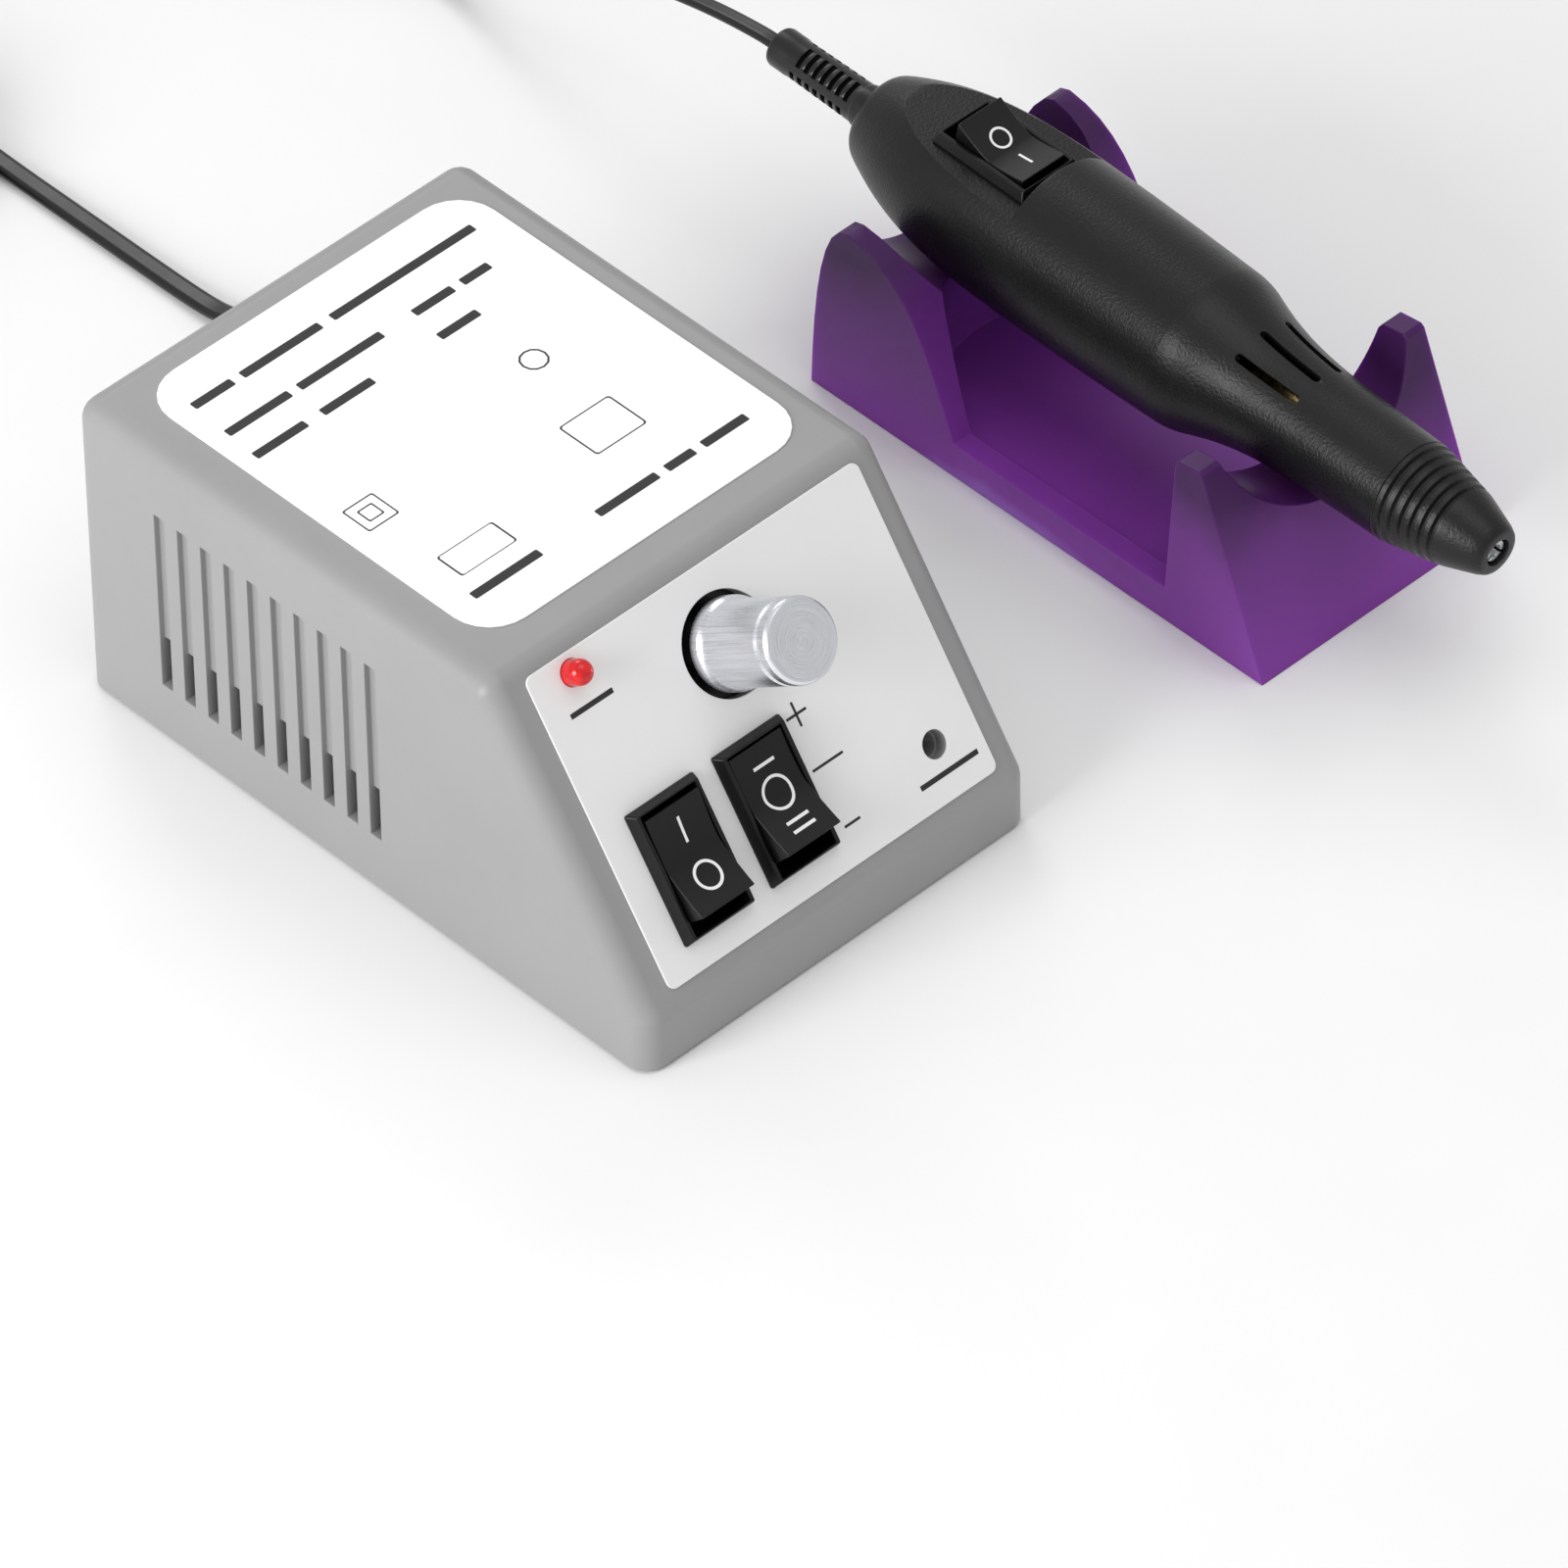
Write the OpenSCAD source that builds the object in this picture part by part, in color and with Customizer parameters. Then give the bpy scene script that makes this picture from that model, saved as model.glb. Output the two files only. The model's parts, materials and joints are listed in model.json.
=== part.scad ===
// Electric nail drill set: wedge-shaped control unit, handpiece and cradle stand, laid out side by side.
// Frame: +Z up, the unit's sloping front faces -Y, +X runs from the unit to the stand.
// The origin is the bottom centre of the whole set, measured without the cords.

/* [Control unit] */
// Width of the unit
unit_w = 85; // [78:1:110]
// Depth of the unit at its base
unit_d = 130.4; // [118:1:170]
// Height of the housing
unit_h = 60.4; // [56:1:80]
// Horizontal run of the sloping front
slope_run = 35.1; // [32:1:45]
// Height of the upright lip below the slope
lip_h = 10.2; // [8:0.5:14]
// Wall thickness of the housing
wall = 2.5; // [2:0.1:3.5]
// Radius of the housing's outer edges
edge_r = 4; // [2:0.5:6]
// Thickness of the base plate
plate_t = 2.2; // [1.8:0.1:3]
// Height that the rubber feet stand proud
foot_proud = 0.6; // [0.4:0.1:2]
// Radius of a rubber foot
foot_r = 4.5; // [3:0.5:7]

/* [Vents] */
// Number of slots in each side
vent_count = 10; // [6:1:12]
// Distance between slots
vent_pitch = 5.43; // [4.5:0.1:6]
// Width of a slot
vent_w = 2.4; // [1.5:0.1:3]
// Height of the recess of a slot
vent_l = 36.8; // [25:1:42]
// Height of the open lower part of a slot
vent_open = 9.6; // [5:0.5:20]
// Height of a slot's lower end above the housing's bottom edge
vent_z = 10.8; // [8:0.5:14]
// Depth of the recess above the open part
vent_recess = 1.1; // [0.5:0.1:1.5]

/* [Front panel] */
// Width of the panel plate
panel_w = 72.2; // [66:1:76]
// Length of the panel plate up the slope
panel_l = 55.8; // [52:1:58]
// Thickness of the panel plate
panel_t = 0.5; // [0.3:0.1:1]
// Radius of the opening around the knob
knob_hole_r = 8.7; // [8.2:0.1:12]
// Radius of the knob's body
knob_r = 7.1; // [6:0.1:8]
// Radius of the knob's skirt
knob_skirt_r = 7.7; // [7.2:0.1:8]
// Length of the knob
knob_l = 20.2; // [14:0.2:24]
// Radius of the lamp
lamp_r = 2.2; // [1.5:0.1:2.5]
// Radius of the output socket's bore
jack_r = 2.05; // [1.8:0.05:2.8]

/* [Panel switches] */
// Width of a switch's frame
bezel_w = 14.8; // [14:0.2:16]
// Length of a switch's frame
bezel_l = 23.5; // [22:0.5:25]
// Width of a rocker
rocker_w = 11.4; // [10.5:0.1:11.6]
// Angle a rocker tips to either side of its middle
throw = 10; // [6:0.5:10]
// The same for the three-position polarity switch
polarity_throw = 15; // [8:0.5:15]

/* [Handpiece] */
// Length of the handpiece's casing
hand_l = 140.8; // [136:0.5:150]
// Largest radius of the casing
hand_r = 15.2; // [14.8:0.1:17]
// Radius of the nose where the ribs end
nose_r = 9.2; // [8.8:0.1:10]
// Length of the ribbed nose cone
nose_l = 19.4; // [17.5:0.1:22]
// Distance from the nose to the joint between the casing halves
seam_a = 65; // [63:0.5:68]
// Height of the switch's flat above the axis
flat_y = 10.9; // [10.4:0.1:11.5]
// Width of the handpiece switch's frame
hand_bezel_w = 13.4; // [12.6:0.2:14]
// Length of the handpiece switch's frame
hand_bezel_l = 21; // [20:0.5:22]
// Radius of the collet's bore, for a 3/32 inch bit shank
collet_r = 1.19; // [1.1:0.01:1.6]
// Radius of the motor's can
motor_r = 12.2; // [11:0.1:12.4]
// Length of the motor's can
motor_l = 29; // [26:0.5:29.5]
// Length of the tail boot
boot_l = 23.6; // [18:0.2:30]

/* [Stand] */
// Width of the stand
stand_w = 51.2; // [48:0.2:60]
// Length of the stand
stand_l = 104.2; // [100:0.5:120]
// Height of the ears
ear_h = 37.4; // [34:0.5:44]
// Thickness of the ears and side rails
ear_t = 4; // [3:0.2:5]
// Height of the side rails
rail_h = 7.1; // [6:0.1:12]
// Thickness of the floor
floor_t = 4.5; // [3:0.1:6]
// Gap between the unit and the stand
set_gap = 48.2; // [20:1:80]

/* [Cords] */
// Width of the flat mains lead
mains_w = 4.2; // [3.6:0.2:5]
// Thickness of the flat mains lead
mains_t = 2.2; // [1.8:0.1:2.6]
// Width of the flat handpiece lead
lead_w = 3.2; // [2.8:0.1:3.6]
// Thickness of the flat handpiece lead
lead_t = 1.8; // [1.5:0.1:2]

/* [Hidden] */
$fn = 48;

// Shared fits
fit = 0.3;            // loose clearance between separate mouldings
run = 0.05;           // radial clearance of a turning fit
eps = 0.01;

// Layout of the three things
tip_reach = 31.6;     // nose of the handpiece ahead of the unit's front
stand_ahead = 4.4;    // front of the stand ahead of the unit's front
// Slope of the unit
slope_a = atan2(unit_h - lip_h, slope_run);
slope_l = norm([slope_run, unit_h - lip_h]);
panel_v = slope_l/2 + 0.5;
panel_x = unit_w/2 + 0.7;
knob_x = panel_x + 0.3;
lamp_x = panel_x - panel_w/2 + 8.5;
lamp_v = slope_l - 5.6;
lamp_h = 2.6;         // where the lamp's dome begins
jack_x = panel_x + panel_w/2 - 8.9;
jack_v = 12.6;
jack_l = 12;
jack_end = 2;         // thickness of the socket's closed end
jack_seat = 6;        // length of the bore that guides the plug
jack_pin_l = 3.5;     // the centre contact sits deep in the bore
jack_hole_r = jack_r + 0.35;
switch_v = 19.7;
knob_v = switch_v + bezel_l/2 + 14.054;    // its terminals clear the switch below
power_x = panel_x - panel_w/2 + 13.1;
polarity_x = power_x + 18.8;

// Switch proportions: [frame w, frame l, frame h, rocker w, body depth]
panel_switch = [bezel_w, bezel_l, 2.2, rocker_w, 14];
hand_switch = [hand_bezel_w, hand_bezel_l, 2.1, hand_bezel_w - 3.6, 8.4];
bezel_rim = 1.05;
pivot_drop = 2.2;
pin_r = 0.8;
rocker_mid = 4.3;     // rocker's crest line above its pivot
rocker_end = 6.6;     // ends of its crest above its pivot

// Parts inside the unit
boss_r = 4;
screw_r = 1.5;
core_w = 44;
core_h = 37;
core_t = 20;
core_x = wall + 6 + core_w/2;
core_y = unit_d - 44;
board_w = 20;
board_l = 62;
board_t = 1.6;
board_x = unit_w - wall - 2.5 - board_w/2;
board_y = unit_d - 50;
board_z = plate_t + 4;
standoff_r = 2.6;

// Mains outlet
mains_x = unit_w - 10.8;
mains_z = 11;
relief_l = 24;
relief_r = 3.1;

// Handpiece: distances along its axis from the nose
switch_a = hand_l - 28.8;
flat_a = switch_a - 11.6;
front_bearing_a = 9;
rear_bearing_a = 30;
bearing_l = 4;
front_seat_r = 4.5;
rear_seat_r = 6.5;
motor_a = seam_a + 3.5;
spindle_a = 0.7;
spindle_r = 1.95;
rear_spindle_r = 2.5;
shaft_r = 1.15;
shell_t = 1.9;
seam_r = hand_r - 0.6 - shell_t;   // spigot that joins the two casing halves
lap = 3;              // length of that spigot past the seam
tail_t = 2.6;         // thickness of the casing's tail end
vent_a = 40.5;
hand_vent_l = 13.2;
hand_vent_w = 1.5;

// Cubic curve through two ends with two handles
function curve(a, b, c, d, n = 8) = [for (i = [0:n]) let(t = i/n)
    pow(1 - t, 3)*a + 3*pow(1 - t, 2)*t*b + 3*(1 - t)*t*t*c + t*t*t*d];

// Outer outline of the casing, as [radius, distance from the nose]
nose_line = [[3.4, 0], [4.3, 0.35], [4.9, 1.5], [6.95, 7.6], [nose_r - 0.3, nose_l - 2], [nose_r, nose_l]];
front_line = concat([[nose_r, nose_l], [nose_r + 0.3, seam_a - 32]],
    curve([nose_r + 0.4, seam_a - 28], [nose_r + 0.9, seam_a - 18], [nose_r + 1.6, seam_a - 12],
        [hand_r - 1.3, seam_a - 3.6], 10),
    curve([hand_r - 1.3, seam_a - 3.6], [hand_r - 0.8, seam_a - 2], [hand_r - 0.7, seam_a - 1],
        [hand_r - 0.6, seam_a], 3));
rear_line = concat([[hand_r - 0.6, seam_a], [hand_r - 0.2, seam_a + 15]],
    curve([hand_r, hand_l - 40.8], [hand_r, hand_l - 18.8], [hand_r - 2.6, hand_l - 10.8],
        [hand_r - 6.3, hand_l - 2.2], 12),
    [[hand_r - 7.1, hand_l - 0.8], [hand_r - 8.4, hand_l]]);

// Radius of the casing at a distance from the nose
function casing_r(a) = lookup(a, [for (p = concat(front_line, rear_line)) [p[1], p[0]]]);

// Saddles: round channels that carry the casing
channel_r = 22.5;
front_saddle = 21.2;
rear_saddle = 20.3;
front_block = 22.3;
rear_block = 13.8;
front_rest_a = tip_reach - stand_ahead + front_block;
rear_rest_a = tip_reach - stand_ahead + stand_l - rear_block;
rest_gap = 0.3;
front_axis_z = front_saddle + casing_r(front_rest_a) + rest_gap;
rear_axis_z = rear_saddle + casing_r(rear_rest_a) + rest_gap;
tilt = atan2(rear_axis_z - front_axis_z, rear_rest_a - front_rest_a);
tip_z = front_axis_z - front_rest_a*tan(tilt);

// Places of the unit and the stand, with the origin under the middle of the whole set
nose_edge = nose_line[0][0]*sin(tilt);
total_w = unit_w + set_gap + stand_w;
total_d = unit_d + tip_reach + nose_edge;
unit_x = -total_w/2;
unit_y = -total_d/2 + tip_reach + nose_edge;
stand_x = total_w/2 - stand_w/2;
stand_y = unit_y - stand_ahead;

// Cord routes, each from its exit to its coil
mains_route = [[-18, 105, 11.6], [-18, 108, 11.4], [-18, 112, 10.2], [-18, 116, 8.4], [-18, 121, 5.6],
    [-18, 126, 3.2], [-18, 131, 1.8], [-18, 138, 1.3], [-18, 148, 1.2], [-18, 158, 1.2], [-18, 168, 1.2],
    [-18, 178, 1.2], [-18, 188, 1.4], [-18, 200, 1.8]];
lead_route = [[66.6, 83.5, 36.9], [66.6, 87, 36.9], [66.6, 93, 36.3], [66.6, 99, 35.4], [66.6, 105, 34.2],
    [66.6, 112, 32.5], [66.6, 119, 30.2], [66.6, 126, 27], [66.6, 133, 23], [66.6, 140, 18.2],
    [66.6, 147, 13.2], [66.6, 154, 8.5], [66.6, 161, 4.7], [66.6, 168, 2.3], [66.6, 175, 1.3],
    [66.6, 184, 1.6]];
mains_tail = [[-44, 232, 9], [-52, 232, 8.2], [-58, 232, 7.4], [-64, 232, 6.9]];
lead_tail = [[108, 190, 9.6], [108, 182, 7.2], [108, 176, 5.2], [108, 171, 4.2]];
mains_coil = [-44, 206];
mains_turn_r = [21.5, 26];
mains_layers = 4;
mains_layer_h = 2.4;
lead_coil = [87.3, 190];
lead_turn_r = [17.3, 20.7];
lead_layers = 5;
lead_layer_h = 2;
coil_lift = 0.6;
tie_w = 5;
tie_t = 0.5;
mains_plug = [-64, 232, 6.85];
lead_plug = [108, 171, 4.2];
plug_l = 36;
plug_w = 35;
plug_t = 13.7;
pin_gap = 18.6;

// ---------- shared functions and shapes ----------

function unit_vec(v) = v/norm(v);

// Points of a closed outline with each corner turned into an arc of its own radius
function soften(pts, radii, steps = 6) = [for (i = [0:len(pts) - 1])
    let(b = pts[i], u = unit_vec(pts[(i + len(pts) - 1)%len(pts)] - b),
        w = unit_vec(pts[(i + 1)%len(pts)] - b), half = acos(u*w)/2,
        c = b + unit_vec(u + w)*radii[i]/sin(half),
        d0 = unit_vec(b + u*radii[i]/tan(half) - c), d1 = unit_vec(b + w*radii[i]/tan(half) - c))
    each (radii[i] <= 0 ? [b] : [for (k = [0:steps]) c + radii[i]*unit_vec(d0*(steps - k) + d1*k)])];

module round_rect(w, l, r) {
    square([w - 2*r, l], center = true);
    square([w, l - 2*r], center = true);
    for (sx = [-1, 1], sy = [-1, 1])
        translate([sx*(w/2 - r), sy*(l/2 - r)])
            circle(r);
}

module on_unit() {
    translate([unit_x, unit_y, foot_proud])
        children();
}

// Frame on the sloping front: X across, Y up the slope, Z out of it
module on_slope(x, v, h = 0) {
    on_unit()
        translate([x, 0, lip_h])
            rotate([slope_a, 0, 0])
                translate([0, v, h])
                    children();
}

module on_stand() {
    translate([stand_x, stand_y, 0])
        children();
}

// Frame of the handpiece: Z from the nose to the tail, Y up, X to the left
module on_hand() {
    translate([stand_x, unit_y - tip_reach, tip_z])
        rotate([tilt, 0, 0])
            rotate([90, 0, 180])
                children();
}

module ring(r_out, r_in, z0, z1) {
    translate([0, 0, z0])
        difference() {
            cylinder(r = r_out, h = z1 - z0);
            translate([0, 0, -1])
                cylinder(r = r_in, h = z1 - z0 + 2);
        }
}

// Flat lead swept along a route: an eight-sided oval at each point
module flat_lead(route, w, t) {
    n = len(route);
    rings = [for (i = [0:n - 1])
        let(d = unit_vec(route[min(i + 1, n - 1)] - route[max(i - 1, 0)]),
            s = unit_vec(cross(d, [0, 0, 1])), u = cross(s, d))
        for (k = [0:7]) route[i] + s*w/2*cos(45*k) + u*t/2*sin(45*k)];
    sides = [for (i = [0:n - 2], k = [0:7]) [8*i + k, 8*i + (k + 1)%8, 8*i + 8 + (k + 1)%8, 8*i + 8 + k]];
    polyhedron(rings, concat(sides, [[for (k = [7:-1:0]) k], [for (k = [0:7]) 8*(n - 1) + k]]), convexity = 4);
}

// Solid ring that holds all the turns of a coil
module coil_solid(centre, turn_r, w, h) {
    translate([centre[0], centre[1], coil_lift])
        rotate_extrude($fn = 64)
            translate([turn_r[0] - w/2, 0])
                square([turn_r[1] - turn_r[0] + w, h]);
}

// Closed band around one place of a coil
module coil_band(centre, turn_r, w, h, angle) {
    span = turn_r[1] - turn_r[0] + w + 0.5;
    translate([centre[0], centre[1], 0])
        rotate([0, 0, angle])
            translate([(turn_r[0] + turn_r[1])/2, 0, 0])
                difference() {
                    translate([-span/2 - tie_t, -tie_w/2, 0])
                        cube([span + 2*tie_t, tie_w, coil_lift + h + 0.1 + tie_t]);
                    translate([-span/2, -tie_w, tie_t])
                        cube([span, 2*tie_w, coil_lift - tie_t + h + 0.1]);
                }
}

// ---------- control unit ----------

// Side view of the housing, set in by t
function wedge(t) = [[t, 0], [t, lip_h + t*tan(slope_a) - t/cos(slope_a)],
    [(unit_h - t - lip_h + t/cos(slope_a))/tan(slope_a), unit_h - t],
    [unit_d - t, unit_h - t], [unit_d - t, 0]];

module along_x(w) {
    rotate([90, 0, 90])
        linear_extrude(w)
            children();
}

module vent_slots() {
    for (side = [0, 1], i = [0:vent_count - 1]) {
        y = unit_d - 18.7 - vent_w/2 - i*vent_pitch;
        translate([side*unit_w - vent_recess, y - vent_w/2, vent_z])
            cube([2*vent_recess, vent_w, vent_l]);
        translate([side*unit_w - 2*wall, y - vent_w/2, vent_z])
            cube([4*wall, vent_w, vent_open]);
    }
}

boss_spots = [for (x = [wall + boss_r - 0.8, unit_w - wall - boss_r + 0.8], y = [13, unit_d - 12]) [x, y]];

module switch_hole(s) {
    translate([0, 0, -wall])
        cube([s[0] - 1.2, s[1] - 1.6, 4*wall], center = true);
}

module unit_housing() {
    color([0.68, 0.68, 0.68])
        difference() {
            on_unit()
                difference() {
                    union() {
                        difference() {
                            intersection() {
                                along_x(unit_w)
                                    polygon(soften(wedge(0), [0, edge_r, edge_r, edge_r, 0]));
                                translate([unit_w/2, unit_d, unit_h/2 - edge_r])
                                    rotate([90, 0, 0])
                                        linear_extrude(unit_d)
                                            round_rect(unit_w, unit_h + 2*edge_r, edge_r);
                                translate([unit_w/2, unit_d/2, 0])
                                    linear_extrude(unit_h)
                                        round_rect(unit_w, unit_d, edge_r);
                            }
                            translate([wall, 0, 0])
                                along_x(unit_w - 2*wall)
                                    polygon(concat([[wall, -1]], [for (i = [1:3]) wedge(wall)[i]],
                                        [[unit_d - wall, -1]]));
                        }
                        for (p = boss_spots)
                            translate([p[0], p[1], plate_t])
                                cylinder(r = boss_r, h = 10);
                    }
                    for (p = boss_spots)
                        translate([p[0], p[1], 0])
                            cylinder(r = screw_r, h = plate_t + 8);
                    vent_slots();
                    translate([mains_x, unit_d - 2*wall, mains_z])
                        rotate([-90, 0, 0])
                            cylinder(r = relief_r + run, h = 4*wall);
                }
            on_slope(knob_x, knob_v, -2*wall)
                cylinder(r = knob_hole_r, h = 4*wall);
            on_slope(lamp_x, lamp_v, -2*wall)
                cylinder(r = lamp_r + run, h = 4*wall);
            on_slope(jack_x, jack_v, -2*wall)
                cylinder(r = jack_hole_r, h = 4*wall);
            on_slope(power_x, switch_v)
                switch_hole(panel_switch);
            on_slope(polarity_x, switch_v)
                switch_hole(panel_switch);
        }
}

foot_spots = [for (sx = [16, unit_w - 16], sy = [24, unit_d - 20]) [sx, sy]];

module base_plate() {
    color([0.62, 0.62, 0.62])
        on_unit()
            difference() {
                union() {
                    translate([unit_w/2, unit_d/2, 0])
                        linear_extrude(plate_t)
                            round_rect(unit_w - 2*wall - 2*fit, unit_d - 2*wall - 2*fit, 1);
                    for (p = standoff_spots)
                        translate([p[0], p[1], 0])
                            cylinder(r = standoff_r, h = board_z);
                }
                for (p = boss_spots)
                    translate([p[0], p[1], -1]) {
                        cylinder(r = screw_r + fit, h = plate_t + 2);
                        cylinder(r = 2.9, h = 2.1);
                    }
                for (p = foot_spots)
                    translate([p[0], p[1], -1])
                        cylinder(r = foot_r + run, h = 2);
                for (p = standoff_spots)
                    translate([p[0], p[1], plate_t])
                        cylinder(r = 1.1, h = board_z);
                for (p = core_spots)
                    translate([p[0], p[1], -1])
                        cylinder(r = screw_r + run, h = plate_t + 2);
            }
}

module rubber_feet() {
    color([0.12, 0.12, 0.12])
        on_unit()
            for (p = foot_spots)
                translate([p[0], p[1], -foot_proud])
                    cylinder(r = foot_r, h = foot_proud + 1);
}

module base_screws() {
    color([0.7, 0.7, 0.72])
        on_unit()
            for (p = boss_spots)
                translate([p[0], p[1], 0.1])
                    difference() {
                        union() {
                            cylinder(r = 2.7, h = 1);
                            cylinder(r = screw_r - run, h = plate_t + 7);
                        }
                        for (a = [0, 90])
                            rotate([0, 0, a])
                                translate([-1.5, -0.3, -1])
                                    cube([3, 0.6, 1.6]);
                    }
}

label_inset = 7.2;
label_t = 0.25;

module top_label() {
    label_l = unit_d - slope_run - 2*label_inset + 0.6;
    color([0.97, 0.97, 0.97])
        on_unit()
            translate([unit_w/2 + 0.8, unit_d - label_inset + 0.6 - label_l/2, unit_h])
                linear_extrude(label_t)
                    round_rect(unit_w - 2*label_inset, label_l, 8);
}

module front_panel() {
    color([0.9, 0.9, 0.91])
        difference() {
            on_slope(panel_x, panel_v)
                linear_extrude(panel_t)
                    round_rect(panel_w, panel_l, 1.5);
            on_slope(knob_x, knob_v, -1)
                cylinder(r = knob_hole_r, h = 3);
            on_slope(lamp_x, lamp_v, -1)
                cylinder(r = lamp_r + run, h = 3);
            on_slope(jack_x, jack_v, -1)
                cylinder(r = jack_hole_r, h = 3);
            on_slope(power_x, switch_v)
                switch_hole(panel_switch);
            on_slope(polarity_x, switch_v)
                switch_hole(panel_switch);
        }
}

// ---------- speed control ----------

knob_h = panel_t + 0.5;      // gap below the knob's skirt
pot_shaft_r = 3;

module speed_knob() {
    top = knob_h + knob_l;
    color([0.82, 0.83, 0.85])
        on_slope(knob_x, knob_v)
            rotate_extrude()
                polygon([[6, knob_h], [knob_skirt_r - 0.3, knob_h], [knob_skirt_r, knob_h + 0.4],
                    [knob_skirt_r, knob_h + 2], [knob_skirt_r - 0.4, knob_h + 2.5], [knob_r, knob_h + 3.6],
                    [knob_r, top - 3.2], [knob_r - 0.4, top - 2.8], [knob_r - 0.4, top - 2.3],
                    [knob_r, top - 1.9], [knob_r, top - 0.7], [knob_r - 0.6, top], [0, top],
                    [0, top - 2], [pot_shaft_r + 0.02, top - 2], [pot_shaft_r + 0.02, knob_h + 3], [6, knob_h + 3]]);
}

module potentiometer_shaft() {
    color([0.75, 0.75, 0.77])
        on_slope(knob_x, knob_v, -12)
            cylinder(r = pot_shaft_r, h = 12 + knob_h + knob_l - 2.1);
}

bracket_t = 1.5;

module potentiometer_bracket() {
    color([0.05, 0.05, 0.05])
        on_slope(knob_x, knob_v, -wall - bracket_t)
            difference() {
                linear_extrude(bracket_t)
                    round_rect(30, 24, 2);
                translate([0, 0, -1])
                    cylinder(r = 3.6 + run, h = 4);
            }
}

module potentiometer_body() {
    color([0.35, 0.36, 0.3])
        on_slope(knob_x, knob_v, -wall - bracket_t)
            difference() {
                union() {
                    translate([0, 0, -9])
                        cylinder(r = 8.2, h = 9);
                    cylinder(r = 3.6, h = bracket_t + wall + knob_h);
                    for (x = [-5, 0, 5])
                        translate([x - 0.6, -12.5, -7])
                            cube([1.2, 6, 0.8]);
                }
                translate([0, 0, -8.2])
                    cylinder(r = pot_shaft_r + run, h = 30);
            }
}

module potentiometer_nut() {
    color([0.75, 0.75, 0.77])
        on_slope(knob_x, knob_v, -wall)
            difference() {
                cylinder(r = 5.6, h = 2, $fn = 6);
                translate([0, 0, -1])
                    cylinder(r = 3.6 + run, h = 4);
            }
}

// ---------- rocker switches ----------

// Frame and body of a rocker switch: origin on the face it is pressed into, Z out of it
module rocker_housing(s) {
    open_w = s[3] + 0.4;
    open_l = s[1] - 2*bezel_rim;
    difference() {
        union() {
            linear_extrude(s[2])
                round_rect(s[0], s[1], 0.6);
            translate([-s[0]/2 + 0.7, -s[1]/2 + 0.9, -s[4]])
                cube([s[0] - 1.4, s[1] - 1.8, s[4] + eps]);
        }
        translate([-open_w/2, -open_l/2, -6.9])
            cube([open_w, open_l, 12]);
        translate([-s[0], 0, -pivot_drop])
            rotate([0, 90, 0])
                cylinder(r = pin_r + run, h = 2*s[0]);
    }
}

// Rocker in its middle position, pivot at the origin: a shallow V on top, a keel below
module rocker_solid(s) {
    half = s[1]/2 - bezel_rim - 1.8;
    translate([-s[3]/2, 0, 0])
        along_x(s[3])
            polygon([[0, rocker_mid], [half, rocker_end], [half, -0.6], [half - 2.4, -2.4],
                [-half + 2.4, -2.4], [-half, -0.6], [-half, rocker_end]]);
    translate([-s[3]/2 - 0.9, 0, 0])
        rotate([0, 90, 0])
            cylinder(r = pin_r, h = s[3] + 1.8);
}

// Rocker at rest: its +Y end pressed down by an angle
module rocker_at_rest(s, angle) {
    translate([0, 0, -pivot_drop])
        rotate([-angle, 0, 0])
            rocker_solid(s);
}

module blades(s, columns, rows) {
    for (x = columns, y = rows)
        translate([x - 0.4, y - 2, -s[4] - 7])
            cube([0.8, 4, 7]);
}

module power_switch_housing() {
    color([0.07, 0.07, 0.07])
        on_slope(power_x, switch_v, panel_t)
            rocker_housing(panel_switch);
}

module power_rocker() {
    color([0.05, 0.05, 0.05])
        on_slope(power_x, switch_v, panel_t)
            rocker_at_rest(panel_switch, throw);
}

module power_switch_terminals() {
    color([0.8, 0.7, 0.4])
        on_slope(power_x, switch_v, panel_t)
            blades(panel_switch, [0], [-6, 0]);
}

module polarity_switch_housing() {
    color([0.07, 0.07, 0.07])
        on_slope(polarity_x, switch_v, panel_t)
            rocker_housing(panel_switch);
}

module polarity_rocker() {
    color([0.05, 0.05, 0.05])
        on_slope(polarity_x, switch_v, panel_t)
            rocker_at_rest(panel_switch, polarity_throw);
}

module polarity_switch_terminals() {
    color([0.8, 0.7, 0.4])
        on_slope(polarity_x, switch_v, panel_t)
            blades(panel_switch, [-3.5, 3.5], [-7, 0, 7]);
}

// ---------- lamp and output socket ----------

module lamp_lens() {
    color([0.9, 0.1, 0.08])
        on_slope(lamp_x, lamp_v) {
            translate([0, 0, -4])
                cylinder(r = lamp_r, h = 4 + lamp_h);
            translate([0, 0, lamp_h])
                sphere(r = lamp_r);
            translate([0, 0, -4])
                cylinder(r = lamp_r + 0.5, h = 4 - wall);
        }
}

module dc_jack_body() {
    color([0.45, 0.45, 0.45])
        on_slope(jack_x, jack_v, -wall - jack_l)
            difference() {
                cylinder(r = jack_r + 2.4, h = jack_l);
                translate([0, 0, jack_l - jack_seat])
                    cylinder(r = jack_r, h = jack_l);
                translate([0, 0, jack_end])
                    cylinder(r = jack_r - 0.2, h = jack_l);
            }
}

module dc_jack_pin() {
    color([0.85, 0.75, 0.45])
        on_slope(jack_x, jack_v, -wall - jack_l + jack_end)
            cylinder(r = 0.8, h = jack_pin_l);
}

// ---------- transformer and board ----------

core_spots = [for (sx = [-1, 1]) [core_x + sx*(core_w/2 - 3), core_y]];

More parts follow.
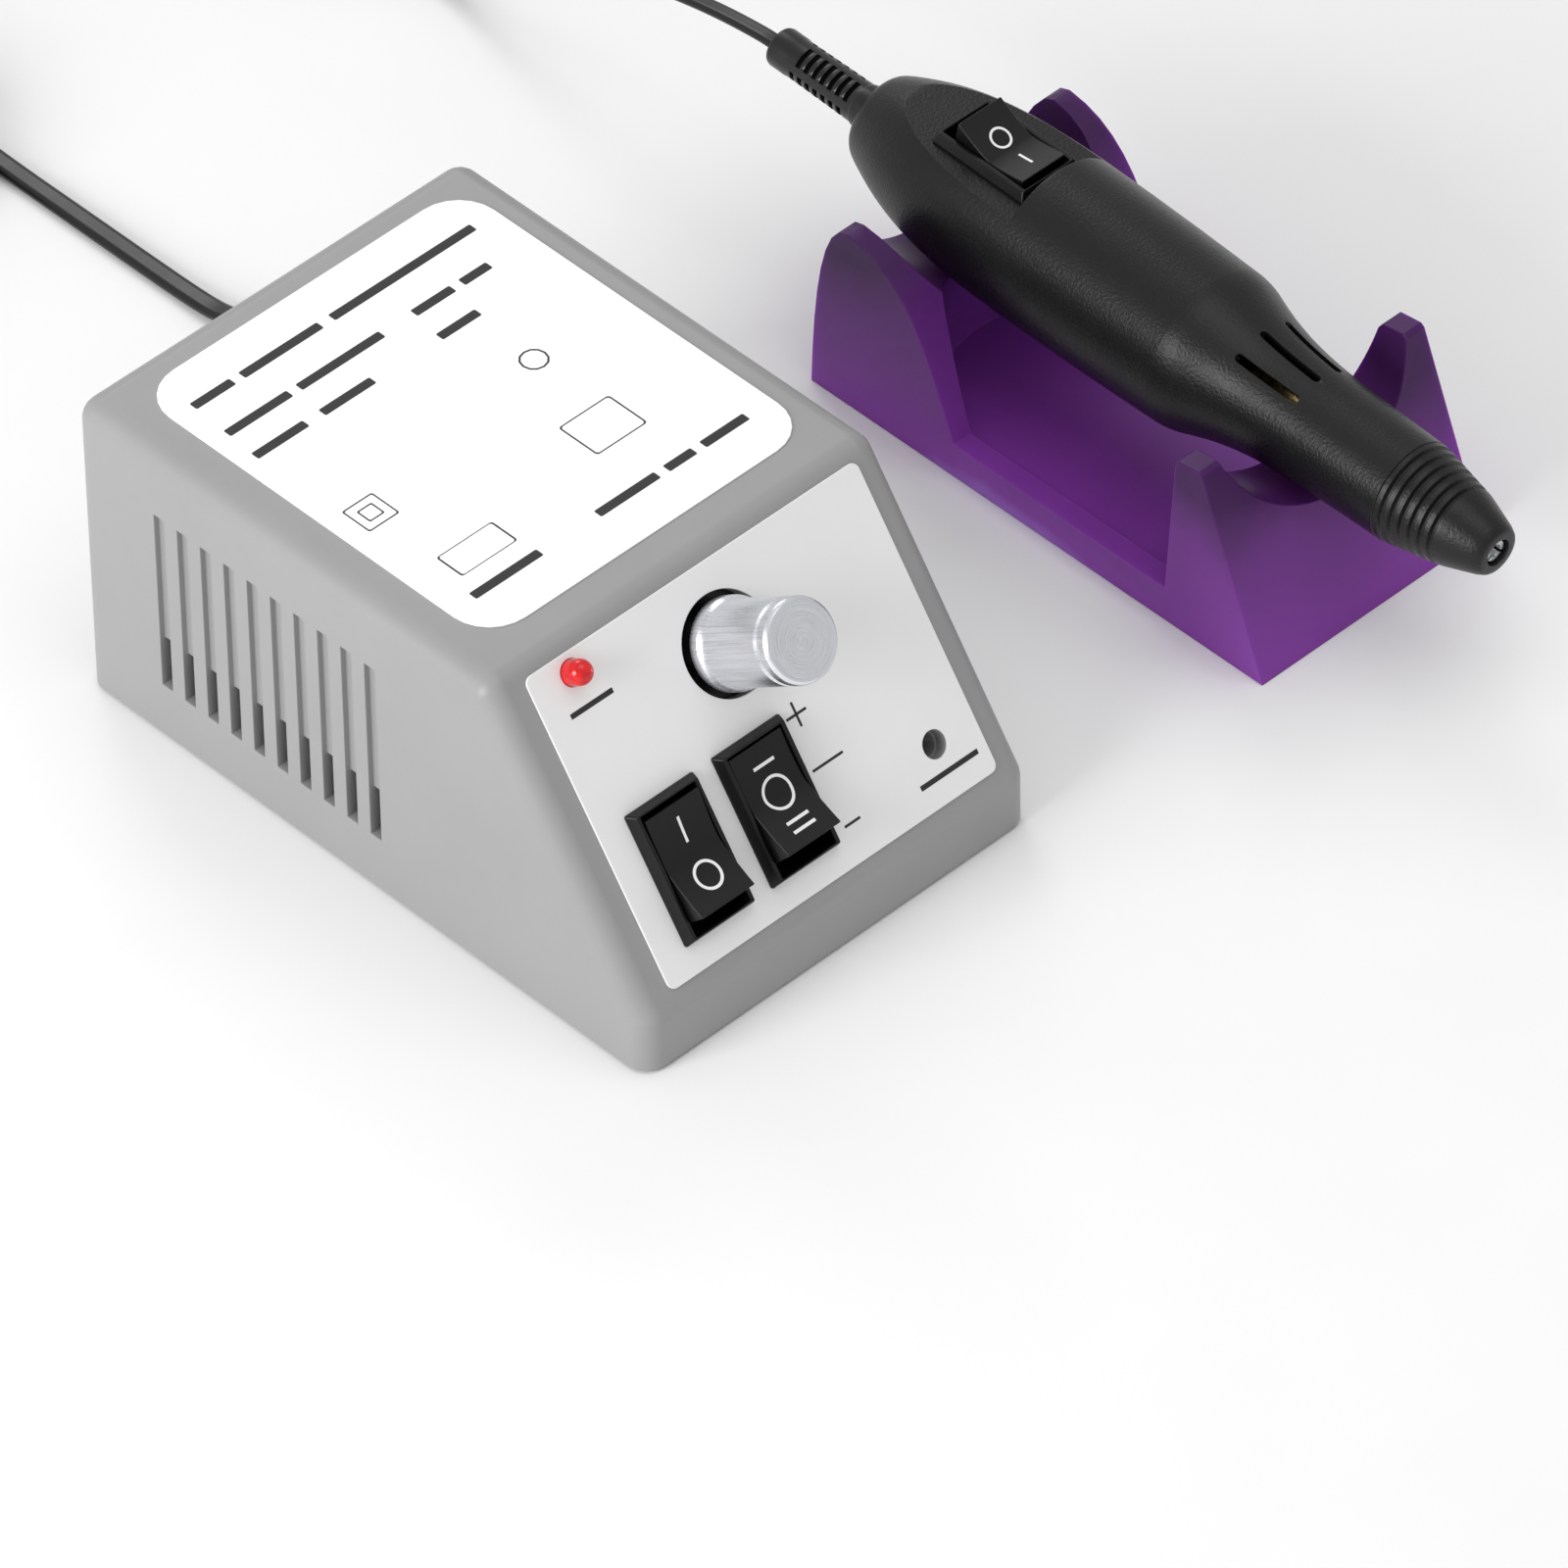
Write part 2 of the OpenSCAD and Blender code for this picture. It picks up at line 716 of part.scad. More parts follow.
module transformer_core() {
    leg = core_w/3;
    window = core_w/2 - leg;
    color([0.3, 0.3, 0.33])
        on_unit()
            difference() {
                translate([core_x - core_w/2, core_y - core_t/2, plate_t])
                    cube([core_w, core_t, core_h]);
                for (sx = [-1, 1])
                    translate([core_x + sx*core_w/4 - window/2, core_y - core_t, plate_t + leg/2])
                        cube([window, 2*core_t, core_h - leg]);
                for (p = core_spots)
                    translate([p[0], p[1], 0])
                        cylinder(r = screw_r + run, h = plate_t + 6.5);
            }
}

// Window of the core, beside its middle leg: [inner x, width, low z, height]
core_window = [core_w/4 - core_w/12, core_w/6, plate_t + core_w/6, core_h - core_w/3];

module winding_shell(gap, thick, end) {
    x_out = core_window[0] + gap + thick;
    y_out = core_t/2 + gap + thick;
    translate([core_x, core_y, core_window[2] + end])
        linear_extrude(core_window[3] - 2*end)
            difference() {
                square([2*x_out, 2*y_out], center = true);
                square([2*(x_out - thick), 2*(y_out - thick)], center = true);
            }
}

module transformer_bobbin() {
    color([0.9, 0.88, 0.8])
        on_unit()
            winding_shell(0.15, 1, 0);
}

module transformer_winding() {
    color([0.75, 0.4, 0.2])
        on_unit()
            winding_shell(1.15, core_window[1] - 1.6, 1);
}

module transformer_screws() {
    color([0.7, 0.7, 0.72])
        on_unit()
            for (p = core_spots)
                translate([p[0], p[1], 0.4])
                    cylinder(r = screw_r, h = plate_t + 5.6);
}

standoff_spots = [for (sx = [-1, 1], sy = [-1, 1])
    [board_x + sx*(board_w/2 - 3), board_y + sy*(board_l/2 - 3)]];

module circuit_board() {
    color([0.15, 0.42, 0.2])
        on_unit()
            difference() {
                translate([board_x - board_w/2, board_y - board_l/2, board_z])
                    cube([board_w, board_l, board_t]);
                for (p = standoff_spots)
                    translate([p[0], p[1], 0])
                        cylinder(r = 1.1, h = 2*board_z);
            }
}

module board_screws() {
    color([0.7, 0.7, 0.72])
        on_unit()
            for (p = standoff_spots)
                translate([p[0], p[1], board_z - 3]) {
                    cylinder(r = 1.05, h = board_t + 3);
                    translate([0, 0, board_t + 3])
                        cylinder(r = 1.9, h = 1.2);
                }
}

module smoothing_capacitor() {
    color([0.1, 0.15, 0.35])
        on_unit()
            translate([board_x, board_y + 16, board_z + board_t])
                cylinder(r = 6, h = 20);
}

module rectifier_diodes() {
    color([0.1, 0.1, 0.1])
        on_unit()
            for (i = [0:3])
                translate([board_x - 4, board_y - 8 + i*4.4, board_z + board_t + 1.4])
                    rotate([0, 90, 0])
                        cylinder(r = 1.4, h = 8);
}

module fuse() {
    color([0.85, 0.88, 0.88])
        on_unit()
            translate([board_x - 10 + 1, board_y - board_l/2 + 12, board_z + board_t + 2.6])
                rotate([0, 90, 0])
                    cylinder(r = 2.6, h = 18);
}

// ---------- mains lead ----------

module mains_strain_relief() {
    color([0.05, 0.05, 0.05])
        on_unit()
            translate([mains_x, unit_d, mains_z])
                rotate([-90, 0, 0]) {
                    translate([0, 0, -wall - 1.8])
                        cylinder(r = relief_r + 1.4, h = 1.8);
                    translate([0, 0, -wall - eps])
                        cylinder(r = relief_r, h = wall + 1);
                    difference() {
                        union() {
                            cylinder(r = relief_r + 1.4, h = 3);
                            translate([0, 0, 3])
                                cylinder(r1 = relief_r + 1, r2 = mains_w/2 + 0.5, h = relief_l - 3);
                        }
                        for (i = [0:4])
                            ring(relief_r + 2, relief_r + 0.35 - 0.22*i, 6.2 + 3.4*i, 7.3 + 3.4*i);
                    }
                }
}

module mains_cord() {
    color([0.05, 0.05, 0.05]) {
        flat_lead(mains_route, mains_w, mains_t);
        flat_lead(mains_tail, mains_w, mains_t);
    }
}

module mains_cord_coil() {
    color([0.05, 0.05, 0.05])
        coil_solid(mains_coil, mains_turn_r, mains_w, mains_layers*mains_layer_h);
}

module mains_cord_tie() {
    color([0.1, 0.1, 0.1])
        coil_band(mains_coil, mains_turn_r, mains_w, mains_layers*mains_layer_h, -60);
}

module mains_plug_body() {
    color([0.05, 0.05, 0.05])
        translate(mains_plug)
            rotate([90, 0, -90]) {
                translate([0, 0, plug_l - 12])
                    linear_extrude(12)
                        round_rect(plug_w, plug_t, 5);
                hull() {
                    translate([0, 0, plug_l - 12])
                        linear_extrude(eps)
                            round_rect(plug_w, plug_t, 5, $fn = 32);
                    linear_extrude(eps)
                        round_rect(9, 7.5, 3.5, $fn = 32);
                }
            }
}

module mains_plug_pins() {
    color([0.8, 0.8, 0.82])
        translate(mains_plug)
            rotate([90, 0, -90])
                for (sx = [-1, 1])
                    translate([sx*pin_gap/2, 0, plug_l]) {
                        cylinder(r = 2, h = 17);
                        translate([0, 0, 17])
                            sphere(r = 2);
                    }
}

// ---------- handpiece casing ----------

// The same outline set in towards the axis, for the hollow
function inset_line(line, t) = [for (p = line) [p[0] - t, p[1]]];

groove_a = 8.2;
groove_pitch = 1.85;
groove_w = 0.8;

module nose_cone() {
    color([0.1, 0.1, 0.1])
        on_hand()
            difference() {
                rotate_extrude()
                    polygon(concat([[0, 0]], nose_line, [[0, nose_l]]));
                for (a = [groove_a:groove_pitch:nose_l - 1])
                    ring(nose_r + 2, lookup(a, [[7.2, 6.5], [nose_l - 0.4, nose_r - 0.4]]), a, a + groove_w);
                translate([0, 0, -1])
                    cylinder(r = spindle_r + fit, h = nose_l + 2);
                translate([0, 0, front_bearing_a])
                    cylinder(r = front_seat_r, h = nose_l);
                translate([0, 0, front_bearing_a + bearing_l + 0.5])
                    cylinder(r = rear_seat_r + run, h = nose_l);
            }
}

module front_shell() {
    seat_a = rear_bearing_a + bearing_l;
    mouth_r = seam_r - 0.9;
    hollow = [for (p = inset_line(front_line, shell_t)) if (p[1] > seat_a && p[1] < seam_a - 3) p];
    color([0.1, 0.1, 0.1])
        on_hand()
            difference() {
                union() {
                    rotate_extrude()
                        polygon(concat([[0, nose_l]], front_line, [[0, seam_a]]));
                    translate([0, 0, front_bearing_a + bearing_l + 0.5 + fit])
                        cylinder(r = rear_seat_r, h = 8);
                    translate([0, 0, seam_a - 1])
                        cylinder(r = seam_r, h = lap + 1);
                }
                rotate_extrude()
                    polygon(concat([[0, seat_a], [rear_seat_r, seat_a]], hollow,
                        [[mouth_r, seam_a - 2], [0, seam_a - 2]]));
                cylinder(r = 4.2, h = seam_a);
                translate([0, 0, rear_bearing_a])
                    cylinder(r = rear_seat_r, h = bearing_l + 1);
                translate([0, 0, seam_a - 3])
                    cylinder(r = mouth_r, h = lap + 5);
                for (a = [-30, 0, 30])
                    rotate([0, 0, a])
                        translate([-hand_vent_w/2, 5, vent_a])
                            cube([hand_vent_w, 12, hand_vent_l]);
            }
}

module rear_shell() {
    hollow = [for (p = inset_line(rear_line, shell_t)) if (p[1] > seam_a + lap && p[1] < hand_l - tail_t) p];
    color([0.12, 0.12, 0.12])
        on_hand()
            difference() {
                rotate_extrude()
                    polygon(concat([[0, seam_a]], rear_line, [[0, hand_l]]));
                translate([0, 0, seam_a - 1])
                    cylinder(r = seam_r + run, h = lap + 3);
                difference() {
                    rotate_extrude()
                        polygon(concat([[0, seam_a + lap], [seam_r, seam_a + lap]], hollow,
                            [[hand_r - 8.6, hand_l - tail_t], [0, hand_l - tail_t]]));
                    translate([-20, flat_y - shell_t, flat_a - shell_t])
                        cube([40, 20, 60]);
                }
                translate([-20, flat_y, flat_a])
                    cube([40, 20, 60]);
                translate([-hand_switch[0]/2 + 0.6, 0, switch_a - hand_switch[1]/2 + 0.8])
                    cube([hand_switch[0] - 1.2, 2*flat_y, hand_switch[1] - 1.6]);
                translate([0, 0, hand_l - 5])
                    cylinder(r = 2.6 + run, h = 10);
            }
}

// ---------- handpiece switch ----------

module on_flat() {
    on_hand()
        translate([0, flat_y, switch_a])
            rotate([-90, 0, 0])
                children();
}

module hand_switch_housing() {
    color([0.06, 0.06, 0.06])
        on_flat()
            rocker_housing(hand_switch);
}

module hand_rocker() {
    color([0.04, 0.04, 0.04])
        on_flat()
            rocker_at_rest(hand_switch, throw);
}

module hand_switch_terminals() {
    color([0.8, 0.7, 0.4])
        on_flat()
            for (y = [-5, 0])
                translate([-0.4, y - 1.5, -hand_switch[4] - 4])
                    cube([0.8, 3, 4]);
}

// ---------- motor ----------

module motor_can() {
    color([0.75, 0.75, 0.77])
        on_hand()
            difference() {
                union() {
                    translate([0, 0, motor_a])
                        cylinder(r = motor_r, h = motor_l);
                    translate([0, 0, motor_a - 2])
                        cylinder(r = 4, h = 3);
                }
                translate([0, 0, motor_a + 1])
                    cylinder(r = motor_r - 0.8, h = motor_l);
                translate([0, 0, motor_a - 3])
                    cylinder(r = shaft_r + run, h = 6);
            }
}

module motor_magnets() {
    color([0.25, 0.25, 0.27])
        on_hand()
            intersection() {
                ring(motor_r - 0.8, motor_r - 3, motor_a + 4, motor_a + 24);
                for (s = [-1, 1])
                    translate([s*motor_r, 0, motor_a + 14])
                        cube([1.3*motor_r, 1.5*motor_r, 30], center = true);
            }
}

module motor_end_cap() {
    color([0.9, 0.9, 0.88])
        on_hand()
            difference() {
                union() {
                    translate([0, 0, motor_a + motor_l - 2])
                        cylinder(r = motor_r - 0.8, h = 2);
                    translate([0, 0, motor_a + motor_l])
                        cylinder(r = 8, h = 1.5);
                }
                translate([0, 0, motor_a + motor_l - 5])
                    cylinder(r = shaft_r + run, h = 10);
            }
}

module motor_brushes() {
    color([0.2, 0.2, 0.2])
        on_hand()
            for (s = [0, 180])
                rotate([0, 0, s])
                    translate([-1.5, 2.9, motor_a + motor_l - 6.2])
                        cube([3, 4.5, 4.2]);
}

module motor_armature() {
    color([0.7, 0.45, 0.25])
        on_hand()
            difference() {
                translate([0, 0, motor_a + 5])
                    cylinder(r = motor_r - 3.6, h = 16);
                translate([0, 0, motor_a])
                    cylinder(r = shaft_r, h = 40);
                for (a = [0:120:240])
                    rotate([0, 0, a])
                        translate([-1, 4.5, motor_a])
                            cube([2, 8, 40]);
            }
}

module commutator() {
    color([0.8, 0.5, 0.3])
        on_hand()
            ring(2.8, shaft_r, motor_a + 21.2, motor_a + motor_l - 2.1);
}

module motor_shaft() {
    color([0.7, 0.7, 0.72])
        on_hand()
            translate([0, 0, 46])
                cylinder(r = shaft_r, h = motor_a + motor_l + 1 - 46);
}

module shaft_coupling() {
    color([0.85, 0.7, 0.4])
        on_hand()
            difference() {
                translate([0, 0, 36.6])
                    cylinder(r = 4, h = 17);
                translate([0, 0, 45])
                    cylinder(r = shaft_r, h = 20);
                translate([0, 0, 30])
                    cylinder(r = rear_spindle_r, h = 12.6);
            }
}

module collet_spindle() {
    color([0.8, 0.8, 0.82])
        on_hand()
            difference() {
                union() {
                    translate([0, 0, spindle_a])
                        cylinder(r = spindle_r, h = 22);
                    translate([0, 0, 20])
                        cylinder(r = rear_spindle_r, h = 22.5);
                    translate([0, 0, rear_bearing_a - 2])
                        cylinder(r = 3.3, h = 1.8);
                    translate([0, 0, front_bearing_a + bearing_l + 0.2])
                        cylinder(r = 2.9, h = 2);
                }
                translate([0, 0, spindle_a - 1])
                    cylinder(r = collet_r, h = 17);
                for (a = [0:120:240])
                    rotate([0, 0, a])
                        translate([-0.22, 0, spindle_a - 1])
                            cube([0.44, 4, 6]);
            }
}

module front_bearing() {
    color([0.75, 0.76, 0.78])
        on_hand()
            ring(front_seat_r - 0.02, spindle_r + run, front_bearing_a, front_bearing_a + bearing_l);
}

module rear_bearing() {
    color([0.75, 0.76, 0.78])
        on_hand()
            ring(rear_seat_r - 0.02, rear_spindle_r + run, rear_bearing_a + 0.1, rear_bearing_a + bearing_l);
}

// ---------- handpiece lead ----------

boot_pitch = 1.86;

module cord_boot() {
    color([0.06, 0.06, 0.06])
        on_hand()
            difference() {
                union() {
                    translate([0, 0, hand_l - 4.2])
                        cylinder(r = 3.6, h = 1.5);
                    translate([0, 0, hand_l - 4.2])
                        cylinder(r = 2.6, h = 5);
                    translate([0, 0, hand_l])
                        cylinder(r1 = 3.85, r2 = 3.45, h = boot_l);
                }
                for (i = [0:6], s = [0:3])
                    rotate([0, 0, 90*s - 28])
                        translate([-1.95, 2.3, hand_l + 4.9 + boot_pitch*(i + (s%2)/2)])
                            cube([3.9, 3, 1]);
            }
}

module handpiece_cord() {
    color([0.05, 0.05, 0.05]) {
        flat_lead(lead_route, lead_w, lead_t);
        flat_lead(lead_tail, lead_w, lead_t);
    }
}

module handpiece_cord_coil() {
    color([0.05, 0.05, 0.05])
        coil_solid(lead_coil, lead_turn_r, lead_w, lead_layers*lead_layer_h);
}

module handpiece_cord_tie() {
    color([0.1, 0.1, 0.1])
        coil_band(lead_coil, lead_turn_r, lead_w, lead_layers*lead_layer_h, 240);
}

module dc_plug_body() {
    color([0.05, 0.05, 0.05])
        translate(lead_plug)
            rotate([90, 0, 0]) {
                cylinder(r1 = 2.3, r2 = 3.4, h = 10);
                translate([0, 0, 10])
                    cylinder(r = 4.2, h = 15);
            }
}

module dc_plug_barrel() {
    color([0.82, 0.82, 0.84])
        translate(lead_plug)
            rotate([90, 0, 0])
                translate([0, 0, 25])
                    difference() {
                        cylinder(r = jack_r - run, h = 9.5);
                        translate([0, 0, 1])
                            cylinder(r = 0.85, h = 10);
                    }
}

// ---------- stand ----------

module stand() {
    half = stand_w/2;
    inner = half - ear_t;
    lean = 0.386;
    back = stand_l;
    top = ear_h;
    side = concat([[0, 0], [lean*(top - 1), top - 1], [lean*(top - 1) + 0.8, top - 0.4],
            [front_block - 2.9, top - 1], [front_block - 2.2, top - 2], [front_block, rail_h]],
        curve([back - 33.4, rail_h], [back - 27, 24], [back - 22.5, top - 1], [back - 9, top], 10),
        curve([back - 9, top], [back - 3, top], [back - 0.8, 20], [back, 0], 8));
    color([0.42, 0.2, 0.55, 0.9])
        on_stand()
            difference() {
                translate([-half, 0, 0])
                    along_x(stand_w)
                        polygon(side);
                translate([0, -1, front_saddle + channel_r])
                    rotate([-90, 0, 0])
                        cylinder(r = channel_r, h = front_block + 2, $fn = 96);
                translate([0, front_block, rear_saddle + channel_r])
                    rotate([-90, 0, 0])
                        cylinder(r = channel_r, h = stand_l, $fn = 96);
                translate([-inner, front_block, floor_t])
                    cube([2*inner, stand_l - rear_block - inner - front_block, 60]);
                translate([0, stand_l - rear_block - inner, floor_t])
                    intersection() {
                        cylinder(r = inner, h = 60, $fn = 96);
                        translate([-inner, -1, 0])
                            cube([2*inner, 2*inner, 60]);
                    }
            }
}

unit_housing();
base_plate();
rubber_feet();
base_screws();
top_label();
front_panel();
speed_knob();
potentiometer_shaft();
potentiometer_body();
potentiometer_nut();
potentiometer_bracket();
power_switch_housing();
power_rocker();
power_switch_terminals();
polarity_switch_housing();
polarity_rocker();
polarity_switch_terminals();
lamp_lens();
dc_jack_body();
dc_jack_pin();
transformer_core();
transformer_bobbin();
transformer_winding();
transformer_screws();
circuit_board();
smoothing_capacitor();
rectifier_diodes();
fuse();
board_screws();
mains_strain_relief();
mains_cord();
mains_cord_coil();
mains_cord_tie();
mains_plug_body();
mains_plug_pins();
rear_shell();
front_shell();
nose_cone();
hand_switch_housing();
hand_rocker();
hand_switch_terminals();
motor_can();
motor_magnets();
motor_end_cap();
motor_brushes();
motor_armature();
commutator();
motor_shaft();
shaft_coupling();
collet_spindle();
front_bearing();
rear_bearing();
cord_boot();
handpiece_cord();
handpiece_cord_coil();
handpiece_cord_tie();
dc_plug_body();
dc_plug_barrel();
stand();
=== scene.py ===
"""Electric nail drill set: a wedge-shaped control unit, a handpiece and its cradle stand.

Lengths in the shape functions are millimetres in a piece's own frame. Place turns them into the row frame.
"""

import json

import bmesh
import bpy
import numpy as np
from bpy.props import FloatProperty, FloatVectorProperty, IntProperty, PointerProperty
from mathutils import Matrix, Vector


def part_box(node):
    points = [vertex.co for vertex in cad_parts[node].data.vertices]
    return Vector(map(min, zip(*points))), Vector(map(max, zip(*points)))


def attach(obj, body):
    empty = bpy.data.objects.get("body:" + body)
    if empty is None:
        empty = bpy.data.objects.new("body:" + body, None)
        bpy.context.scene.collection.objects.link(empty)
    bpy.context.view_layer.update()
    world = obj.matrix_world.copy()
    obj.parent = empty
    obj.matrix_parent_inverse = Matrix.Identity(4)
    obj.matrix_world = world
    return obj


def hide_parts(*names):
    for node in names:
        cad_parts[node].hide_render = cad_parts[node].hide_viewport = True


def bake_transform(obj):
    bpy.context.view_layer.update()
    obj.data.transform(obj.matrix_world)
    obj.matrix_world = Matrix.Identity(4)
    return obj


bl_info = {
    "name": "Electric nail drill set",
    "version": (1, 0, 0),
    "blender": (4, 5, 0),
    "location": "3D View > Sidebar > Nail drill",
    "description": "Builds the visible shapes and finishes of a nail drill set on its CAD frame",
    "category": "Add Mesh",
}

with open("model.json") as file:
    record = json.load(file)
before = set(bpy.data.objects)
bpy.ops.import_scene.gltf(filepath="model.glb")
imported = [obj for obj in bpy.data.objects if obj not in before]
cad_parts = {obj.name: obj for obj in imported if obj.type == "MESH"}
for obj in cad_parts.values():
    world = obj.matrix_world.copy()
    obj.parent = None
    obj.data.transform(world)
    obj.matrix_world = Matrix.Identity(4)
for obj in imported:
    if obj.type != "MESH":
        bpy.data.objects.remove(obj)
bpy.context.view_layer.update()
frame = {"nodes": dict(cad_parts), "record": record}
MM = 0.001
TURN = 2 * np.pi
RECORD = frame["record"]
SLOTS = {part["node"]: part["material_slot"] for part in RECORD["subparts"]}
BODIES = {node: body for body, nodes in RECORD["behaviour"]["bodies"].items() for node in nodes}
JOINTS = {joint["name"]: joint for joint in RECORD["behaviour"]["joints"]}


# ---------- places: the frames that the pieces are drawn in ----------


class Place:
    """An origin in metres and three unit axes, all in the row frame."""

    def __init__(self, origin, x, z):
        self.origin = np.array(origin, float)
        z = np.array(z, float) / np.linalg.norm(z)
        x = np.array(x, float) / np.linalg.norm(x)
        self.axes = np.array([x, np.cross(z, x), z])

    def world(self, points):
        """Points in millimetres along the three axes, as metres in the row frame."""
        return self.origin + np.asarray(points, float) * MM @ self.axes

    def shifted(self, x, y, z=0.0):
        """The same frame with its origin moved, in millimetres along its own axes."""
        return Place(self.world([x, y, z]), self.axes[0], self.axes[2])

    def euler(self):
        """The frame's turn, as a Mapping node takes it."""
        return Matrix(self.axes.T.tolist()).to_euler()


def size_of(node):
    """A CAD node's size along X, Y and Z in millimetres."""
    low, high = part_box(node)
    return (np.array(high) - np.array(low)) / MM


ROW = Place((0, 0, 0), (1, 0, 0), (0, 0, 1))
UNIT = Place(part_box("unit_housing")[0], (1, 0, 0), (0, 0, 1))
UNIT_W, UNIT_D, UNIT_H = size_of("unit_housing")
KNOB = Place(JOINTS["speed_knob_turn"]["pos_m"], (1, 0, 0), JOINTS["speed_knob_turn"]["axis"])
HAND = Place(JOINTS["spindle_spin"]["pos_m"], (-1, 0, 0), JOINTS["spindle_spin"]["axis"])


# ---------- settings ----------


def length(name, description, default):
    """A length in metres."""
    return FloatProperty(name=name, description=description, default=default, unit="LENGTH", precision=4)


def colour(name, description, default):
    """A linear colour."""
    return FloatVectorProperty(
        name=name, description=description, default=default, subtype="COLOR", size=3, min=0.0, max=1.0
    )


class UnitSettings(bpy.types.PropertyGroup):
    """Sizes and colours of the control unit."""

    slope_run: length("Slope run", "Horizontal run of the sloping front", 0.0351)
    lip_height: length("Lip height", "Height of the upright lip below the slope", 0.0102)
    wall: length("Wall", "Thickness of the housing's wall", 0.0025)
    edge_radius: length("Edge radius", "Radius of the housing's outer edges", 0.004)
    vents: IntProperty(name="Vents", description="Slots in each side", default=10, min=0, max=12)
    housing_colour: colour("Housing", "Colour of the moulded housing", (0.30, 0.30, 0.30))
    panel_colour: colour("Panel", "Colour of the panel plate", (0.84, 0.84, 0.84))
    label_colour: colour("Label", "Colour of the top label", (0.97, 0.97, 0.97))
    lamp_colour: colour("Lamp", "Colour of the lamp", (0.62, 0.008, 0.010))


class HandSettings(bpy.types.PropertyGroup):
    """Sizes and colours of the handpiece and its stand."""

    flat_height: length("Flat height", "Height of the switch's flat above the axis", 0.0109)
    shell_wall: length("Shell wall", "Thickness of the casing", 0.0019)
    stand_edge: length("Stand edge", "Radius of the stand's edges", 0.0006)
    casing_colour: colour("Casing", "Colour of the handpiece", (0.006, 0.006, 0.006))
    # Painted light: the stand glow is painted along the stand's foot, and the stand colour is painted lighter
    # low down and darker higher up and towards the ends, by height and place, not by thickness.
    stand_colour: colour("Stand", "Colour of the stand's thick parts", (0.160, 0.030, 0.250))
    stand_painted_glow: colour("Stand glow", "Colour of the stand's thin, lit parts", (0.42, 0.16, 0.72))


class LeadSettings(bpy.types.PropertyGroup):
    """Sizes of the two flat leads."""

    mains_width: length("Mains width", "Width of the flat mains lead", 0.0042)
    mains_thickness: length("Mains thickness", "Thickness of the mains lead", 0.0022)
    lead_width: length("Handpiece width", "Width of the flat handpiece lead", 0.0032)
    lead_thickness: length("Handpiece thickness", "Thickness of the handpiece lead", 0.0018)


# ---------- shapes: each returns points (n, 3) and faces ----------


def grid_faces(rows, cols, wrap_rows=False):
    """Quads of a grid whose columns close into loops, and whose rows do too when wrap_rows is set."""
    i = np.arange(rows if wrap_rows else rows - 1)[:, None]
    j = np.arange(cols)[None, :]
    near, far, turn = i * cols, (i + 1) % rows * cols, (j + 1) % cols
    return np.stack([near + j, near + turn, far + turn, far + j], axis=-1).reshape(-1, 4).tolist()


def loft(loops, ring=False):
    """A skin over closed loops (rows, cols, 3), with a flat cap on each end, or closed on itself as a ring."""
    rows, cols = loops.shape[:2]
    faces = grid_faces(rows, cols, ring)
    if not ring:
        faces.append(list(range(cols))[::-1])
        faces.append(list(range((rows - 1) * cols, rows * cols)))
    return loops.reshape(-1, 3), faces


def lathe(profile, cols=96, ring=False):
    """A profile (radius, height) turned about Z: point = (r cos t, r sin t, z)."""
    r, z = np.array(profile, float).T
    t = TURN * np.arange(cols) / cols
    loops = np.stack([r[:, None] * np.cos(t), r[:, None] * np.sin(t), z[:, None] + 0 * t], axis=-1)
    return loft(loops, ring)


def prism(outline, low, high):
    """A flat outline (n, 2) pulled straight from low to high along Z."""
    outline = np.array(outline, float)
    loops = np.stack([np.column_stack([outline, np.full(len(outline), z)]) for z in (low, high)])
    return loft(loops)


def along_x(outline, low, high):
    """A side view (y, z) pulled straight from low to high along X."""
    points, faces = prism(outline, low, high)
    return points[:, [2, 0, 1]], faces


def box_shape(low, high):
    """A block between two corners, used as a cutter."""
    (x0, y0, z0), (x1, y1, z1) = low, high
    return prism([(x0, y0), (x1, y0), (x1, y1), (x0, y1)], z0, z1)


def rounded(w, l, r, steps=6):
    """Outline of a w by l rectangle whose corners are quarter circles of radius r."""
    t = np.linspace(0, TURN / 4, steps + 1)
    arcs = []
    for k, (sx, sy) in enumerate([(1, 1), (-1, 1), (-1, -1), (1, -1)]):
        turn = t + k * TURN / 4
        arcs.append(np.column_stack([sx * (w / 2 - r) + r * np.cos(turn), sy * (l / 2 - r) + r * np.sin(turn)]))
    return np.concatenate(arcs)


def stepped(sections):
    """A skin over rounded rectangles given as (w, l, r, z)."""
    return loft(np.stack([np.column_stack([rounded(w, l, r), np.full(28, z)]) for w, l, r, z in sections]))


def joined(shapes):
    """Several separate shapes as one."""
    points, faces, start = [], [], 0
    for p, f in shapes:
        points.append(p)
        faces += [[start + k for k in face] for face in f]
        start += len(p)
    return np.concatenate(points), faces


def moved(shape, place):
    """The shape with its points turned into another place's row-frame metres."""
    return place.world(shape[0]), shape[1]


def offset(shape, x, y):
    """The shape moved by x and y along its own axes."""
    return shape[0] + [x, y, 0], shape[1]


def in_row(shapes):
    """Shapes already in metres, as one shape in millimetres of the row frame."""
    points, faces = joined(shapes)
    return points / MM, faces


def bezier(a, b, c, d, steps=12):
    """Cubic curve from a to d with handles b and c: the sum of the four Bernstein weights."""
    t = np.linspace(0, 1, steps + 1)[:, None]
    a, b, c, d = (np.array(p, float) for p in (a, b, c, d))
    return (1 - t) ** 3 * a + 3 * (1 - t) ** 2 * t * b + 3 * (1 - t) * t**2 * c + t**3 * d


